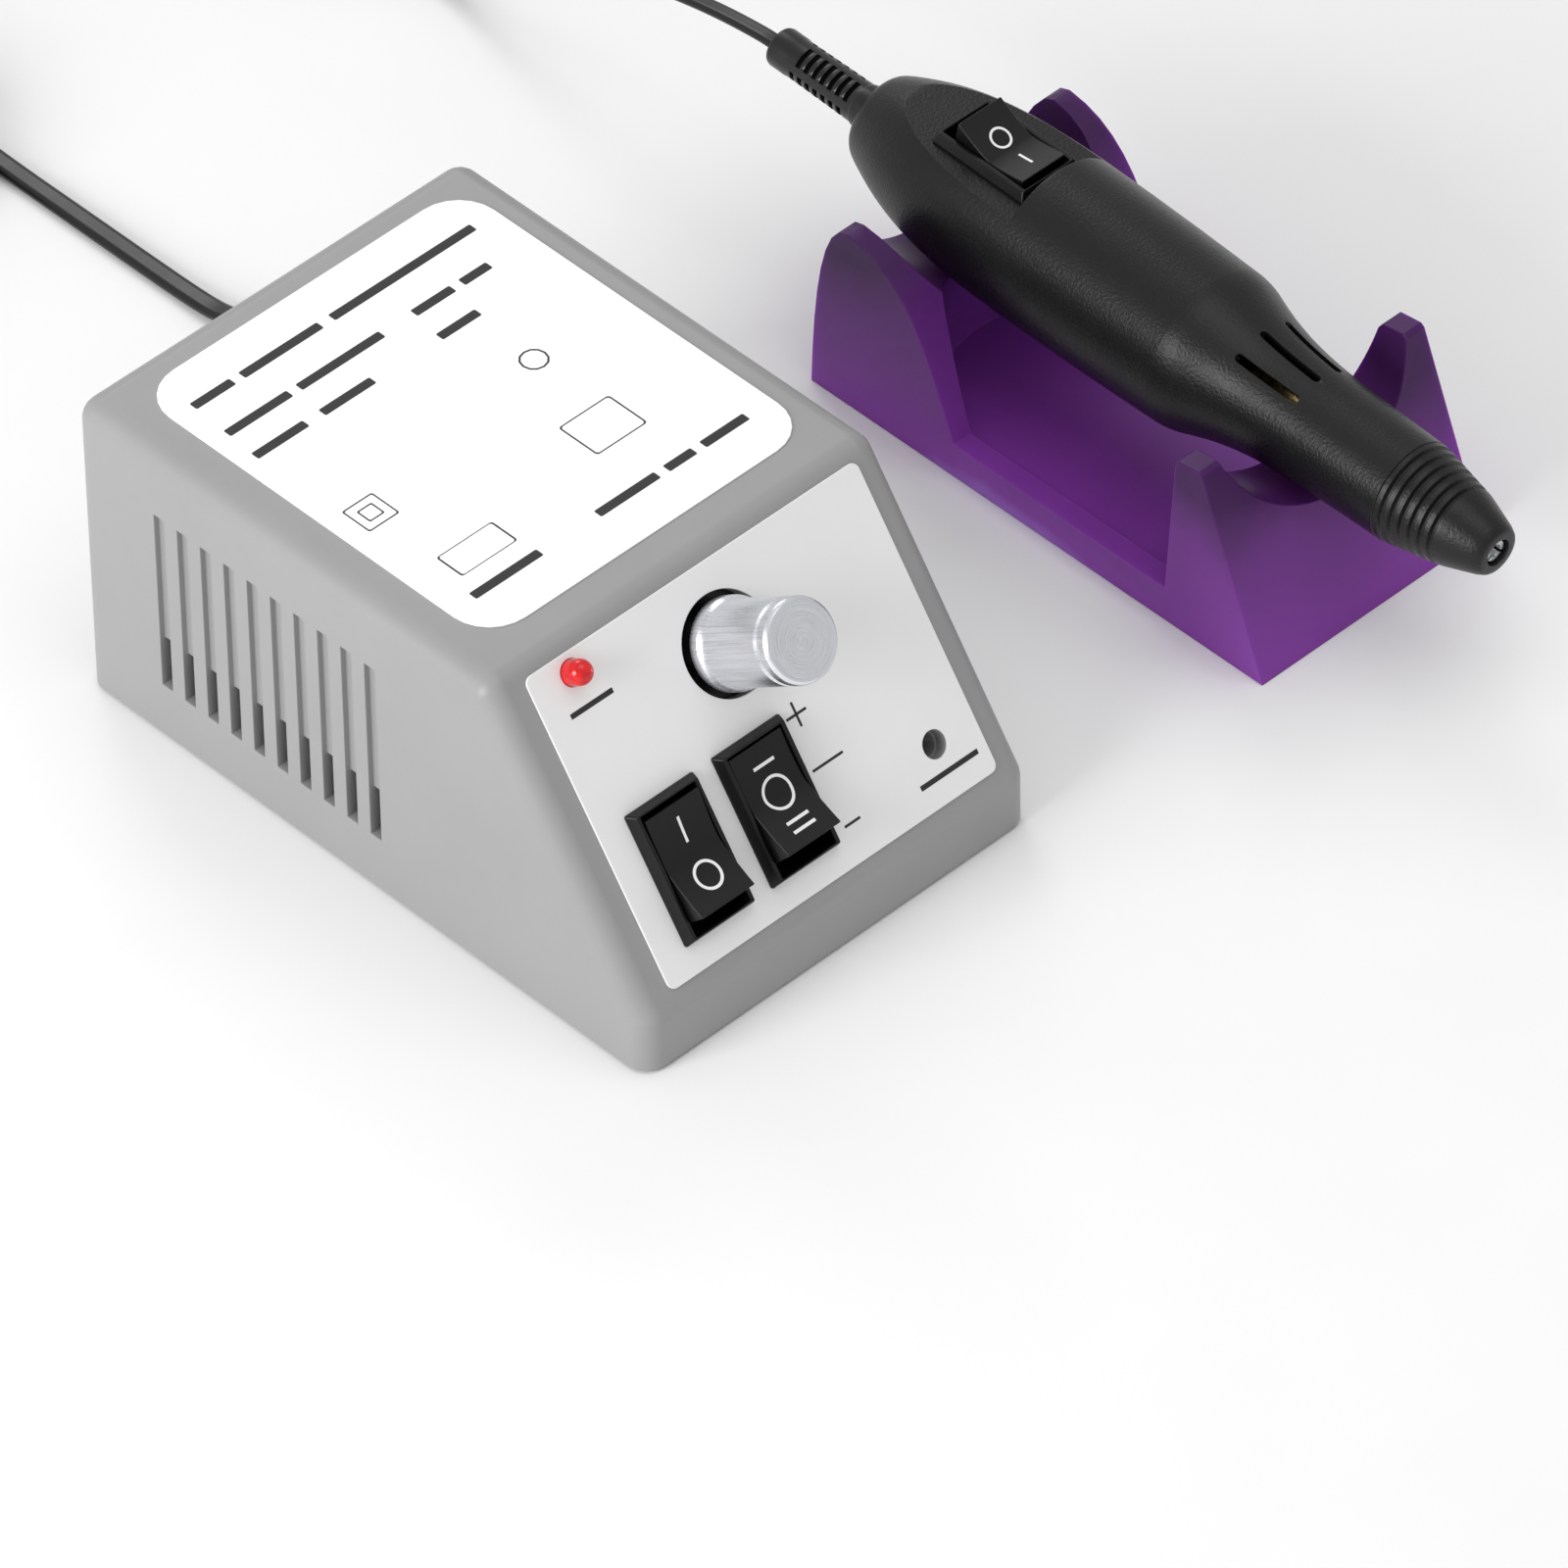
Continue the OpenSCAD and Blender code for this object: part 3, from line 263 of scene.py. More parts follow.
def smooth_path(points, steps=6):
    """Catmull-Rom curve through the points, steps to each stretch, as whole arrays."""
    p = np.array(points, float)
    p = np.concatenate([[2 * p[0] - p[1]], p, [2 * p[-1] - p[-2]]])
    t = np.linspace(0, 1, steps, endpoint=False)[None, :, None]
    a, b, c, d = (p[k : len(p) - 3 + k, None, :] for k in range(4))
    curve = 0.5 * (2 * b + (c - a) * t + (2 * a - 5 * b + 4 * c - d) * t**2 + (3 * b - a - 3 * c + d) * t**3)
    return np.concatenate([curve.reshape(-1, 3), p[-2:-1]])


def coil_path(centre, radii, heights, start, hand, last, steps=40):
    """Turns about a centre: turn k keeps radii[k] and heights[k], and eases into the next in its last sixth."""
    turns = len(radii) - 1 + last
    t = np.linspace(0, turns, int(turns * steps) + 1)
    k = np.minimum(t.astype(int), len(radii) - 1)
    after = np.minimum(k + 1, len(radii) - 1)
    ease = np.clip((t - k - 0.8) / 0.16, 0, 1)
    ease = ease * ease * (3 - 2 * ease)
    r = np.array(radii)[k] * (1 - ease) + np.array(radii)[after] * ease
    z = np.array(heights)[k] * (1 - ease) + np.array(heights)[after] * ease
    angle = start + hand * TURN * t
    return np.column_stack([centre[0] + r * np.cos(angle), centre[1] + r * np.sin(angle), z])


def flat_section(w, h, count=20):
    """Outline of a flat twin lead: two round cores side by side with a shallow groove between them."""
    t = TURN * np.arange(count) / count
    x = w / 2 * np.sign(np.cos(t)) * np.abs(np.cos(t)) ** 0.8
    y = h / 2 * np.sin(t) * (0.80 + 0.20 * np.minimum(1, np.abs(x) / (w / 4)))
    return np.column_stack([x, y])


def sweep(path, section):
    """A section carried along a path: point = path + x * side + y * up, with side level and up across both."""
    tangent = np.gradient(path, axis=0)
    tangent /= np.linalg.norm(tangent, axis=1)[:, None]
    side = np.cross(tangent, [0, 0, 1.0])
    side /= np.linalg.norm(side, axis=1)[:, None]
    up = np.cross(side, tangent)
    x, y = section.T
    loops = path[:, None] + x[None, :, None] * side[:, None] + y[None, :, None] * up[:, None]
    return loft(loops)


# ---------- from shapes to pieces ----------


def linked(name, data):
    """A new object in the scene that holds the data."""
    obj = bpy.data.objects.new(name, data)
    bpy.context.scene.collection.objects.link(obj)
    return obj


def piece(name, shape, place=ROW):
    """A new object at the origin whose mesh holds the shape, closed, with its normals outwards."""
    points, faces = shape
    mesh = bpy.data.meshes.new(name)
    mesh.from_pydata(place.world(points).tolist(), [], faces)
    work = bmesh.new()
    work.from_mesh(mesh)
    bmesh.ops.remove_doubles(work, verts=work.verts, dist=2e-6)
    bmesh.ops.recalc_face_normals(work, faces=work.faces)
    work.to_mesh(mesh)
    work.free()
    return linked(name, mesh)


def bake(obj):
    """Applies the object's modifiers to its mesh."""
    graph = bpy.context.evaluated_depsgraph_get()
    old = obj.data
    obj.data = bpy.data.meshes.new_from_object(obj.evaluated_get(graph))
    obj.modifiers.clear()
    bpy.data.meshes.remove(old)


def carve(obj, shape, place=ROW):
    """Cuts a shape out of a piece."""
    cutter = piece("cutter", shape, place)
    cut = obj.modifiers.new("cut", "BOOLEAN")
    cut.operation = "DIFFERENCE"
    cut.solver = "EXACT"
    cut.object = cutter
    bake(obj)
    bpy.data.objects.remove(cutter)


def bevel_edges(obj, width, segments, angle):
    """Rounds the edges that turn by more than angle, by width in millimetres."""
    bevel = obj.modifiers.new("edges", "BEVEL")
    bevel.width = width * MM
    bevel.segments = segments
    bevel.limit_method = "ANGLE"
    bevel.angle_limit = np.radians(angle)


def soften(obj, width=0.0, segments=2, angle=32.0):
    """Rounds the sharp edges by width, or marks them sharp, and evens the shading of the flat faces."""
    obj.data.shade_smooth()
    if width:
        bevel_edges(obj, width, segments, angle)
    else:
        obj.data.set_sharp_from_angle(angle=np.radians(angle))
    even = obj.modifiers.new("even shading", "WEIGHTED_NORMAL")
    even.keep_sharp = True
    even.weight = 80
    return obj


def dress(obj, finish, *nodes, body=None):
    """Gives a piece its finish, the CAD nodes that it stands for, its slot and its body."""
    obj.data.materials.clear()
    obj.data.materials.append(FINISH[finish])
    if nodes:
        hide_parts(*nodes)
    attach(obj, body or BODIES[nodes[0]])
    return obj


def finished(name, shape, place, finish, *nodes, body=None, **edges):
    """A new piece with its edges softened, dressed for the nodes that it stands for."""
    return dress(soften(piece(name, shape, place), **edges), finish, *nodes, body=body)


def extra(name, shape, place, finish, body="set"):
    """A piece that stands for no CAD node: it takes the finish, slot and body that are named."""
    finished(name, shape, place, finish, body=body)


def merged_copy(node, name):
    """A copy of a CAD node with its triangles joined and its flat faces made whole."""
    mesh = frame["nodes"][node].data.copy()
    mesh.name = name
    work = bmesh.new()
    work.from_mesh(mesh)
    bmesh.ops.remove_doubles(work, verts=work.verts, dist=2e-6)
    bmesh.ops.dissolve_limit(work, angle_limit=0.01, verts=work.verts, edges=work.edges)
    work.to_mesh(mesh)
    work.free()
    return linked(name, mesh)


# ---------- finishes ----------


class Nodes:
    """Short hand for building one material's node tree."""

    def __init__(self, name):
        self.material = bpy.data.materials.get(name) or bpy.data.materials.new(name)
        self.material.use_nodes = True
        self.tree = self.material.node_tree
        self.tree.nodes.clear()
        self.shader = self.node("BsdfPrincipled")
        out = self.node("OutputMaterial")
        self.link(self.shader.outputs[0], out.inputs[0])
        self.points = self.node("TexCoord").outputs["Object"]

    def node(self, kind):
        return self.tree.nodes.new("ShaderNode" + kind)

    def link(self, source, socket):
        self.tree.links.new(source, socket)

    def local(self, place):
        """Object coordinates turned into a place's own frame, in metres."""
        node = self.node("Mapping")
        node.vector_type = "TEXTURE"
        node.inputs["Location"].default_value = place.origin.tolist()
        node.inputs["Rotation"].default_value = place.euler()
        self.link(self.points, node.inputs["Vector"])
        return node.outputs[0]

    def split(self, vector):
        """A vector's three values."""
        node = self.node("SeparateXYZ")
        self.link(vector, node.inputs[0])
        return node.outputs

    def combine(self, x, y):
        """A vector with these first two values."""
        node = self.node("CombineXYZ")
        self.link(x, node.inputs[0])
        self.link(y, node.inputs[1])
        return node.outputs[0]

    def noise(self, scale, detail=3.0, vector=None):
        """Noise whose features are about 1 / scale metres across."""
        node = self.node("TexNoise")
        node.inputs["Scale"].default_value = scale
        node.inputs["Detail"].default_value = detail
        self.link(vector or self.points, node.inputs["Vector"])
        return node.outputs["Fac"]

    def math(self, operation, a, b=0.0):
        node = self.node("Math")
        node.operation = operation
        for value, socket in ((a, node.inputs[0]), (b, node.inputs[1])):
            if isinstance(value, (int, float)):
                socket.default_value = value
            else:
                self.link(value, socket)
        return node.outputs[0]

    def ramp(self, factor, stops):
        """A colour for each (place, colour) stop, blended in between."""
        node = self.node("ValToRGB")
        band = node.color_ramp
        while len(band.elements) < len(stops):
            band.elements.new(0.5)
        for element, (at, shade) in zip(band.elements, stops):
            element.position = at
            element.color = (*shade, 1) if len(shade) == 3 else shade
        self.link(factor, node.inputs[0])
        return node.outputs[0]

    def span(self, factor, low, high):
        """A 0 to 1 value spread over low to high."""
        node = self.node("MapRange")
        node.inputs["To Min"].default_value = low
        node.inputs["To Max"].default_value = high
        self.link(factor, node.inputs["Value"])
        return node.outputs[0]

    def paint(self, factor, stops):
        """The base colour: a ramp over the factor."""
        self.link(self.ramp(factor, stops), self.shader.inputs["Base Color"])

    def rough(self, factor, low, high):
        """The roughness: the factor spread over low to high."""
        self.link(self.span(factor, low, high), self.shader.inputs["Roughness"])

    def bump(self, height, strength, depth):
        node = self.node("Bump")
        node.inputs["Strength"].default_value = strength
        node.inputs["Distance"].default_value = depth
        self.link(height, node.inputs["Height"])
        self.link(node.outputs[0], self.shader.inputs["Normal"])

    def set(self, **values):
        """Sets the shader's own sockets: base_color becomes Base Color, and so on."""
        for key, value in values.items():
            name = key.replace("_", " ").title().replace("Ior", "IOR")
            self.shader.inputs[name].default_value = value


def tinted(shade, factor):
    """A colour made lighter or darker."""
    return tuple(min(1.0, c * factor) for c in shade)


def moulded(name, shade, rough, grain=2500.0, depth=0.00002, strength=0.35, mottle=0.05, gloss=0.5):
    """Moulded plastic: fine spark grain in the bump, uneven gloss and a slight cloudiness in the colour."""
    n = Nodes(name)
    n.set(specular_ior_level=gloss)
    cloud = n.noise(45.0, 4.0)
    n.paint(cloud, [(0.3, tinted(shade, 1 - mottle)), (0.7, tinted(shade, 1 + mottle))])
    n.rough(n.noise(260.0, 5.0), rough - 0.06, rough + 0.06)
    n.bump(n.noise(grain, 4.0), strength, depth)
    return n.material


def metal(name, shade, rough, scale=900.0):
    """Turned or plated metal with a fine uneven polish."""
    n = Nodes(name)
    n.set(metallic=1.0)
    n.paint(n.noise(120.0), [(0.3, tinted(shade, 0.88)), (0.7, shade)])
    n.rough(n.noise(scale, 6.0), rough - 0.08, rough + 0.1)
    n.bump(n.noise(scale * 3, 3.0), 0.15, 0.00001)
    return n.material


KNOB_END = 0.0212  # the knob's end above its seat, in metres


def brushed_knob():
    """Aluminium with lines along the knob's side and rings on its end, both from its own axis."""
    n = Nodes("brushed aluminium")
    n.set(metallic=1.0)
    x, y, z = n.split(n.local(KNOB))
    angle = n.math("ARCTAN2", y, x)
    radius = n.math("SQRT", n.math("ADD", n.math("MULTIPLY", x, x), n.math("MULTIPLY", y, y)))
    rings = n.combine(n.math("MULTIPLY", angle, 0.6), n.math("MULTIPLY", radius, 9000.0))
    lines = n.combine(n.math("MULTIPLY", angle, 24.0), n.math("MULTIPLY", z, 60.0))
    pick = n.node("Mix")
    n.link(n.math("GREATER_THAN", z, KNOB_END - 0.00055), pick.inputs["Factor"])
    n.link(n.noise(1.0, 4.0, lines), pick.inputs[2])
    n.link(n.noise(1.0, 4.0, rings), pick.inputs[3])
    height = pick.outputs[0]
    n.paint(height, [(0.25, (0.60, 0.61, 0.65)), (0.6, (0.84, 0.85, 0.89))])
    n.rough(height, 0.20, 0.38)
    n.bump(height, 0.35, 0.00003)
    return n.material


# Spans over which the stand's painted glow and painted shade are spread.
STAND_HEIGHT, STAND_MIDDLE, STAND_HALF = 0.0374, 0.006, 0.058  # metres, along Z and Y of the row frame


def frosted_purple(settings):
    """Tinted acrylic: light gathers along the foot, so the colour runs from glow to deep with height."""
    n = Nodes("frosted purple acrylic")
    _, y, z = n.split(n.points)
    # Painted light and shade: lightest at the foot and darker with height, with painted shade towards the front
    # and back ends; the noise mottle is random tone.
    height = n.math("DIVIDE", z, STAND_HEIGHT)
    along = n.math("DIVIDE", n.math("SUBTRACT", y, STAND_MIDDLE), STAND_HALF)
    ends = n.math("MULTIPLY", n.math("MULTIPLY", along, along), 0.30)
    mottle = n.math("MULTIPLY", n.math("SUBTRACT", n.noise(55.0, 4.0), 0.5), 0.24)
    wave = n.math("ADD", n.math("ADD", height, ends), mottle)
    glow, deep = tuple(settings.stand_painted_glow), tuple(settings.stand_colour)
    stops = [(0.0, glow), (0.08, tinted(deep, 1.9)), (0.24, tinted(deep, 1.5)), (0.70, tinted(deep, 1.0)),
             (0.98, tinted(deep, 0.35))]
    n.paint(wave, stops)
    n.rough(n.noise(300.0, 4.0), 0.30, 0.42)
    n.set(subsurface_weight=0.25, subsurface_radius=(0.006, 0.002, 0.009), subsurface_scale=1.0, ior=1.49)
    n.set(specular_ior_level=0.25)
    n.bump(n.noise(4200.0, 3.0), 0.25, 0.00002)
    return n.material


def lamp_red(settings):
    """Red tinted resin with an uneven glow of its own, as if lit from inside."""
    n = Nodes("lit red lens")
    shade = tuple(settings.lamp_colour)
    n.set(base_color=(*shade, 1), roughness=0.08, transmission_weight=0.25, ior=1.5)
    glow = n.ramp(n.noise(900.0, 2.0), [(0.40, tinted(shade, 0.10)), (0.62, shade)])
    n.link(glow, n.shader.inputs["Emission Color"])
    n.set(emission_strength=0.35)
    return n.material


def clear_glass():
    """Thin clear glass with faint draw lines."""
    n = Nodes("clear glass")
    n.set(base_color=(0.9, 0.93, 0.92, 1), transmission_weight=0.9, ior=1.5)
    n.rough(n.noise(200.0), 0.02, 0.08)
    return n.material


def wound_wire():
    """Enamelled copper wire laid side by side: fine level bands in colour and bump."""
    n = Nodes("enamelled copper wire")
    n.set(metallic=0.8)
    wave = n.node("TexWave")
    wave.bands_direction = "Z"
    wave.inputs["Scale"].default_value = 600.0
    wave.inputs["Distortion"].default_value = 0.6
    n.link(n.points, wave.inputs["Vector"])
    n.paint(wave.outputs["Fac"], [(0.1, (0.16, 0.05, 0.02)), (0.8, (0.55, 0.22, 0.09))])
    n.rough(n.noise(300.0), 0.25, 0.4)
    n.bump(wave.outputs["Fac"], 0.6, 0.0001)
    return n.material


def finishes():
    """Every material slot of the record, and the finishes that only the new pieces use."""
    unit, hand = bpy.context.scene.drill_unit, bpy.context.scene.drill_hand
    black = tuple(hand.casing_colour)
    return {
        "grey_plastic": moulded("grey housing plastic", tuple(unit.housing_colour), 0.42, 2600.0, mottle=0.02),
        "panel": moulded("silk panel plate", tuple(unit.panel_colour), 0.34, 3500.0, 0.00002, 0.12, 0.02),
        "white_label": moulded("white label film", tuple(unit.label_colour), 0.40, 3000.0, 0.00002, 0.1, 0.01),
        "print": moulded("grey print", (0.012, 0.012, 0.012), 0.55, 4000.0, strength=0.1),
        "white_print": moulded("white print", (0.85, 0.85, 0.85), 0.45, 4000.0, strength=0.1),
        "casing": moulded("sparked black casing", black, 0.34, 1900.0, 0.0001, 0.8, 0.2, 0.34),
        "black_plastic": moulded("black switch plastic", tinted(black, 0.8), 0.32, 3000.0, strength=0.25,
                                 gloss=0.3),
        "socket": moulded("grey socket plastic", (0.30, 0.30, 0.30), 0.5),
        "cord_rubber": moulded("black lead sheath", tinted(black, 0.8), 0.30, 900.0, strength=0.2),
        "rubber": moulded("foot rubber", (0.02, 0.02, 0.02), 0.75, 1400.0, strength=0.5),
        "steel": metal("plated steel", (0.56, 0.57, 0.58), 0.28),
        "aluminium": brushed_knob(),
        "brass": metal("tinned brass", (0.70, 0.52, 0.25), 0.30),
        "core_iron": metal("laminated iron", (0.10, 0.10, 0.12), 0.5, 400.0),
        "copper_winding": wound_wire(),
        "brown_board": moulded("phenolic board", (0.10, 0.07, 0.035), 0.5),
        "ivory_plastic": moulded("ivory nylon", (0.70, 0.65, 0.50), 0.45),
        "green_board": moulded("green board", (0.02, 0.12, 0.04), 0.35, 600.0),
        "blue_sleeve": moulded("blue sleeve", (0.01, 0.025, 0.12), 0.25),
        "carbon": moulded("brush carbon", (0.02, 0.02, 0.02), 0.6),
        "red_lens": lamp_red(unit),
        "clear_glass": clear_glass(),
        "purple_acrylic": frosted_purple(hand),
    }


FINISH = {}


# ---------- control unit, in millimetres ----------

PANEL_W, PANEL_L, PANEL_T = 72.2, 55.8, 0.5
PANEL_SHIFT = 0.7  # the panel's middle, past the unit's middle
KNOB_HOLE, LAMP_HOLE, JACK_HOLE = 8.7, 2.25, 2.4
SWITCH_V, SWITCH_PITCH = 19.7, 18.8
VENT_W, VENT_PITCH, VENT_FIRST = 2.4, 5.43, 19.9
VENT_LOW, VENT_HIGH, VENT_THROUGH = 10.8, 47.6, 20.4
VENT_SHADE = 1.1  # depth of the slots above the part that goes through
SWITCH_HOLE = (13.6, 21.9, 0.4)
LABEL_T = 0.25
PRINT_LOW, PRINT_HIGH = -0.01, 0.03  # printed marks, from the surface that they are on
OUTLET = Place(UNIT.world([74.2, UNIT_D, 11.0]), (1, 0, 0), (0, 1, 0))


def wedge_sizes():
    """The unit's slope run, lip height and wall, in millimetres."""
    s = bpy.context.scene.drill_unit
    return s.slope_run / MM, s.lip_height / MM, s.wall / MM


def slope_place(x, v, h=0.0):
    """The frame on the sloping front at x across and v up the slope, h out of it."""
    run, lip, _ = wedge_sizes()
    return Place(UNIT.world([0, 0, lip]), (1, 0, 0), (0, lip - UNIT_H, run)).shifted(x, v, h)


def slope_length():
    """Length of the sloping front from the lip to the top."""
    run, lip, _ = wedge_sizes()
    return float(np.hypot(run, UNIT_H - lip))


def panel_points():
    """Places of what is on the panel, as (x, v)."""
    middle = UNIT_W / 2
    top = slope_length()
    power = middle + PANEL_SHIFT - PANEL_W / 2 + 13.1
    return {
        "panel": (middle + PANEL_SHIFT, top / 2 + 0.5),
        "knob": (middle + 1.0, top - 15.75),
        "lamp": (middle - 26.9, top - 5.6),
        "jack": (UNIT_W - 14.6, 12.6),
        "power": (power, SWITCH_V),
        "polarity": (power + SWITCH_PITCH, SWITCH_V),
    }


def rounded_wedge(w, d, h, run, lip, r, steps=6):
    """The housing's outside: side-view corners rounded by r, and the same arc turned in at both sides.

    Each corner's centre is set in by r. Point = centre + r sin(p) (cos q, sin q), x = r (1 - cos p).
    """
    corners = np.array([(0, -9), (d, -9), (d, h), (run, h), (0, lip)], float)
    edges = corners - np.roll(corners, 1, axis=0)
    edges /= np.linalg.norm(edges, axis=1)[:, None]
    normal_before = np.column_stack([edges[:, 1], -edges[:, 0]])
    normal_after = np.roll(normal_before, -1, axis=0)
    cosine = (normal_before * normal_after).sum(1)
    centres = corners - r * (normal_before + normal_after) / (1 + cosine)[:, None]
    start = np.arctan2(normal_before[:, 1], normal_before[:, 0])
    swing = np.arccos(cosine)
    q = start[:, None] + swing[:, None] * np.linspace(0, 1, steps + 1)[None, :]
    flat = np.stack([np.cos(q), np.sin(q)], axis=-1)
    p = np.linspace(0, TURN / 4, steps + 1)
    near = [(r * (1 - np.cos(a)), r * np.sin(a)) for a in p]
    far = [(w - x, reach) for x, reach in near[::-1]]
    loops = []
    for x, reach in near + far:
        side = (centres[:, None] + reach * flat).reshape(-1, 2)
        loops.append(np.column_stack([np.full(len(side), x), side]))
    return loft(np.stack(loops))


def hollow_wedge():
    """Side view of the hollow: the outside set in by the wall, open below."""
    run, lip, t = wedge_sizes()
    slant = np.arctan2(UNIT_H - lip, run)
    low = lip + t * np.tan(slant) - t / np.cos(slant)
    back = (UNIT_H - t - lip + t / np.cos(slant)) / np.tan(slant)
    return [(t, -12), (UNIT_D - t, -12), (UNIT_D - t, UNIT_H - t), (back, UNIT_H - t), (t, low)]


def panel_cutters(reach):
    """The openings for knob, lamp, socket and the two switches, as one shape in row millimetres."""
    at = panel_points()
    shapes = []
    for name, radius in (("knob", KNOB_HOLE), ("lamp", LAMP_HOLE), ("jack", JACK_HOLE)):
        shapes.append(moved(lathe([(radius, -reach), (radius, reach)], 64), slope_place(*at[name])))
    for name in ("power", "polarity"):
        shapes.append(moved(prism(rounded(*SWITCH_HOLE), -reach, reach), slope_place(*at[name])))
    return in_row(shapes)


def vent_cutters(depth, low, high):
    """One block for each slot on both sides, reaching depth into the wall."""
    shapes = []
    for k in range(bpy.context.scene.drill_unit.vents):
        y = UNIT_D - VENT_FIRST - k * VENT_PITCH
        near, far = y - VENT_W / 2, y + VENT_W / 2
        shapes.append(box_shape((-5, near, low), (depth, far, high)))
        shapes.append(box_shape((UNIT_W - depth, near, low), (UNIT_W + 5, far, high)))
    return joined(shapes)


def make_housing():
    """Rounded wedge with its hollow, vents and panel openings cut, and screw bosses in its corners."""
    run, lip, t = wedge_sizes()
    edge = bpy.context.scene.drill_unit.edge_radius / MM
    obj = piece("housing_shell", rounded_wedge(UNIT_W, UNIT_D, UNIT_H, run, lip, edge), UNIT)
    carve(obj, box_shape((-9, -9, -30), (UNIT_W + 9, UNIT_D + 9, 0)), UNIT)
    carve(obj, along_x(hollow_wedge(), t, UNIT_W - t), UNIT)
    carve(obj, vent_cutters(VENT_SHADE, VENT_LOW, VENT_HIGH), UNIT)
    carve(obj, vent_cutters(t + 2, VENT_LOW, VENT_THROUGH), UNIT)
    carve(obj, panel_cutters(12.0))
    carve(obj, lathe([(3.15, -8), (3.15, 8)], 48), OUTLET)
    dress(soften(obj, 0.12, 1), "grey_plastic", "unit_housing")
    bosses = []
    for x in (t + 3.2, UNIT_W - t - 3.2):
        for y in (13.0, UNIT_D - 12.0):
            ring = lathe([(1.5, 2.2), (4, 2.2), (4, 12.2), (1.5, 12.2)], 32, ring=True)
            bosses.append(offset(ring, x, y))
    extra("screw_bosses", joined(bosses), UNIT, "grey_plastic")


def make_panel():
    """Thin rounded plate on the slope, pierced for what passes through it, with plus, minus and plain bars."""
    at = panel_points()
    place = slope_place(*at["panel"])
    obj = piece("panel_plate", prism(rounded(PANEL_W, PANEL_L, 1.5), 0.0, PANEL_T), place)
    carve(obj, panel_cutters(6.0))
    dress(soften(obj, 0.14), "panel", "front_panel")
    bars = []
    for x, v, w, l in ((49.4, 29.6, 4.3, 0.45), (49.4, 29.6, 0.45, 4.3), (50.4, 9.6, 3.4, 0.45),
                       (16.4, 49.7, 9.0, 0.9), (70.8, 7.7, 12.6, 0.9), (51.0, 20.2, 6.6, 0.45)):
        bar = prism(rounded(w, l, 0.1), PRINT_LOW, PRINT_HIGH)
        bars.append(moved(bar, slope_place(x, v, PANEL_T)))
    extra("panel_signs", in_row(bars), ROW, "print")


def outline_bar(points, width):
    """A closed printed line of that width round the points of a convex outline."""
    points = np.array(points, float)
    middle = points.mean(0)
    away = points - middle
    inner = middle + away * (1 - width / np.linalg.norm(away, axis=1).max())
    low, high = LABEL_T + PRINT_LOW, LABEL_T + PRINT_HIGH
    loops = [np.column_stack([ring, np.full(len(points), z)])
             for ring, z in ((points, low), (points, high), (inner, high), (inner, low))]
    return loft(np.stack(loops), ring=True)


def make_label():
    """White rounded label on the top, with plain bars where a rating plate has its lines."""
    low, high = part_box("top_label")
    w, l, _ = size_of("top_label")
    place = Place(((low[0] + high[0]) / 2, (low[1] + high[1]) / 2, low[2]), (1, 0, 0), (0, 0, 1))
    plate = prism(rounded(w, l, 8.0, 6), 0.0, LABEL_T)
    finished("rating_label", plate, place, "white_label", "top_label", width=0.08)
    rows = [(32.0, -31.0, -22.5), (32.0, -20.5, -3.5), (32.0, -1.0, 30.0),
            (23.5, -31.5, -18.0), (23.5, -16.0, 2.0), (23.5, 9.0, 17.5), (23.5, 19.5, 25.5),
            (16.5, -32.0, -21.0), (16.5, -17.5, -6.5), (16.5, 8.0, 16.5),
            (-31.5, -3.0, 10.0), (-31.5, 12.0, 18.0), (-31.5, 20.0, 29.5), (-31.5, -30.0, -15.5)]
    shapes = []
    for y, x0, x1 in rows:
        bar = prism(rounded(x1 - x0, 1.8, 0.3, 3), LABEL_T + PRINT_LOW, LABEL_T + PRINT_HIGH)
        shapes.append(offset(bar, (x0 + x1) / 2, y))
    for x, y, bw, bl, r in ((-28.0, -6.0, 6.5, 6.5, 0.4), (-28.0, -6.0, 3.2, 3.2, 0.3),
                            (-22.0, -24.0, 12.0, 6.0, 0.5),
                            (12.0, -17.0, 11.0, 9.0, 0.6), (15.0, 2.0, 5.0, 5.0, 2.4)):
        shapes.append(offset(outline_bar(rounded(bw, bl, r, 3), 0.35), x, y))
    extra("label_print", joined(shapes), place, "print")


def make_knob():
    """Knob turned from one profile: skirt, neck, body, a fine groove and a chamfered end."""
    base, top, r = 1.0, KNOB_END / MM, 7.1
    profile = [(6.0, base), (7.5, base), (7.7, base + 0.2), (7.7, base + 2.1), (7.5, base + 2.4),
               (7.25, base + 2.8), (r, base + 3.6), (r, top - 3.3), (r - 0.1, top - 3.2), (r - 0.4, top - 2.9),
               (r - 0.4, top - 2.4), (r - 0.1, top - 2.1), (r, top - 2.0), (r, top - 0.8),
               (r - 0.15, top - 0.45), (r - 0.55, top - 0.05), (r - 0.7, top), (0.9, top), (0.5, top - 0.12),
               (0.0, top - 0.15), (0.0, top - 2.0), (3.02, top - 2.0),
               (3.02, base + 3.0), (6.0, base + 3.0)]
    finished("knob_cap", lathe(profile, 128, ring=True), KNOB, "aluminium", "speed_knob", angle=24.0)


# ---------- rocker switches ----------

PIVOT = -2.2  # a rocker's pins, from the face that its frame is pressed into
CREST_LOW, CREST_RISE = 4.3, 2.3
SIGN_LOW, SIGN_HIGH = -0.1, 0.04  # the signs' skin, from the crest
PANEL_SWITCH = (14.8, 23.5, 2.2, 14.0, 11.4)  # frame width, length, height, body depth, rocker width
HAND_SWITCH = (13.4, 21.0, 2.1, 8.4, 9.8)


def crest(y, half):
    """Height of a rocker's top above its pivot: a shallow bowl that rises to both ends."""
    return CREST_LOW + CREST_RISE * np.abs(y / half) ** 1.35


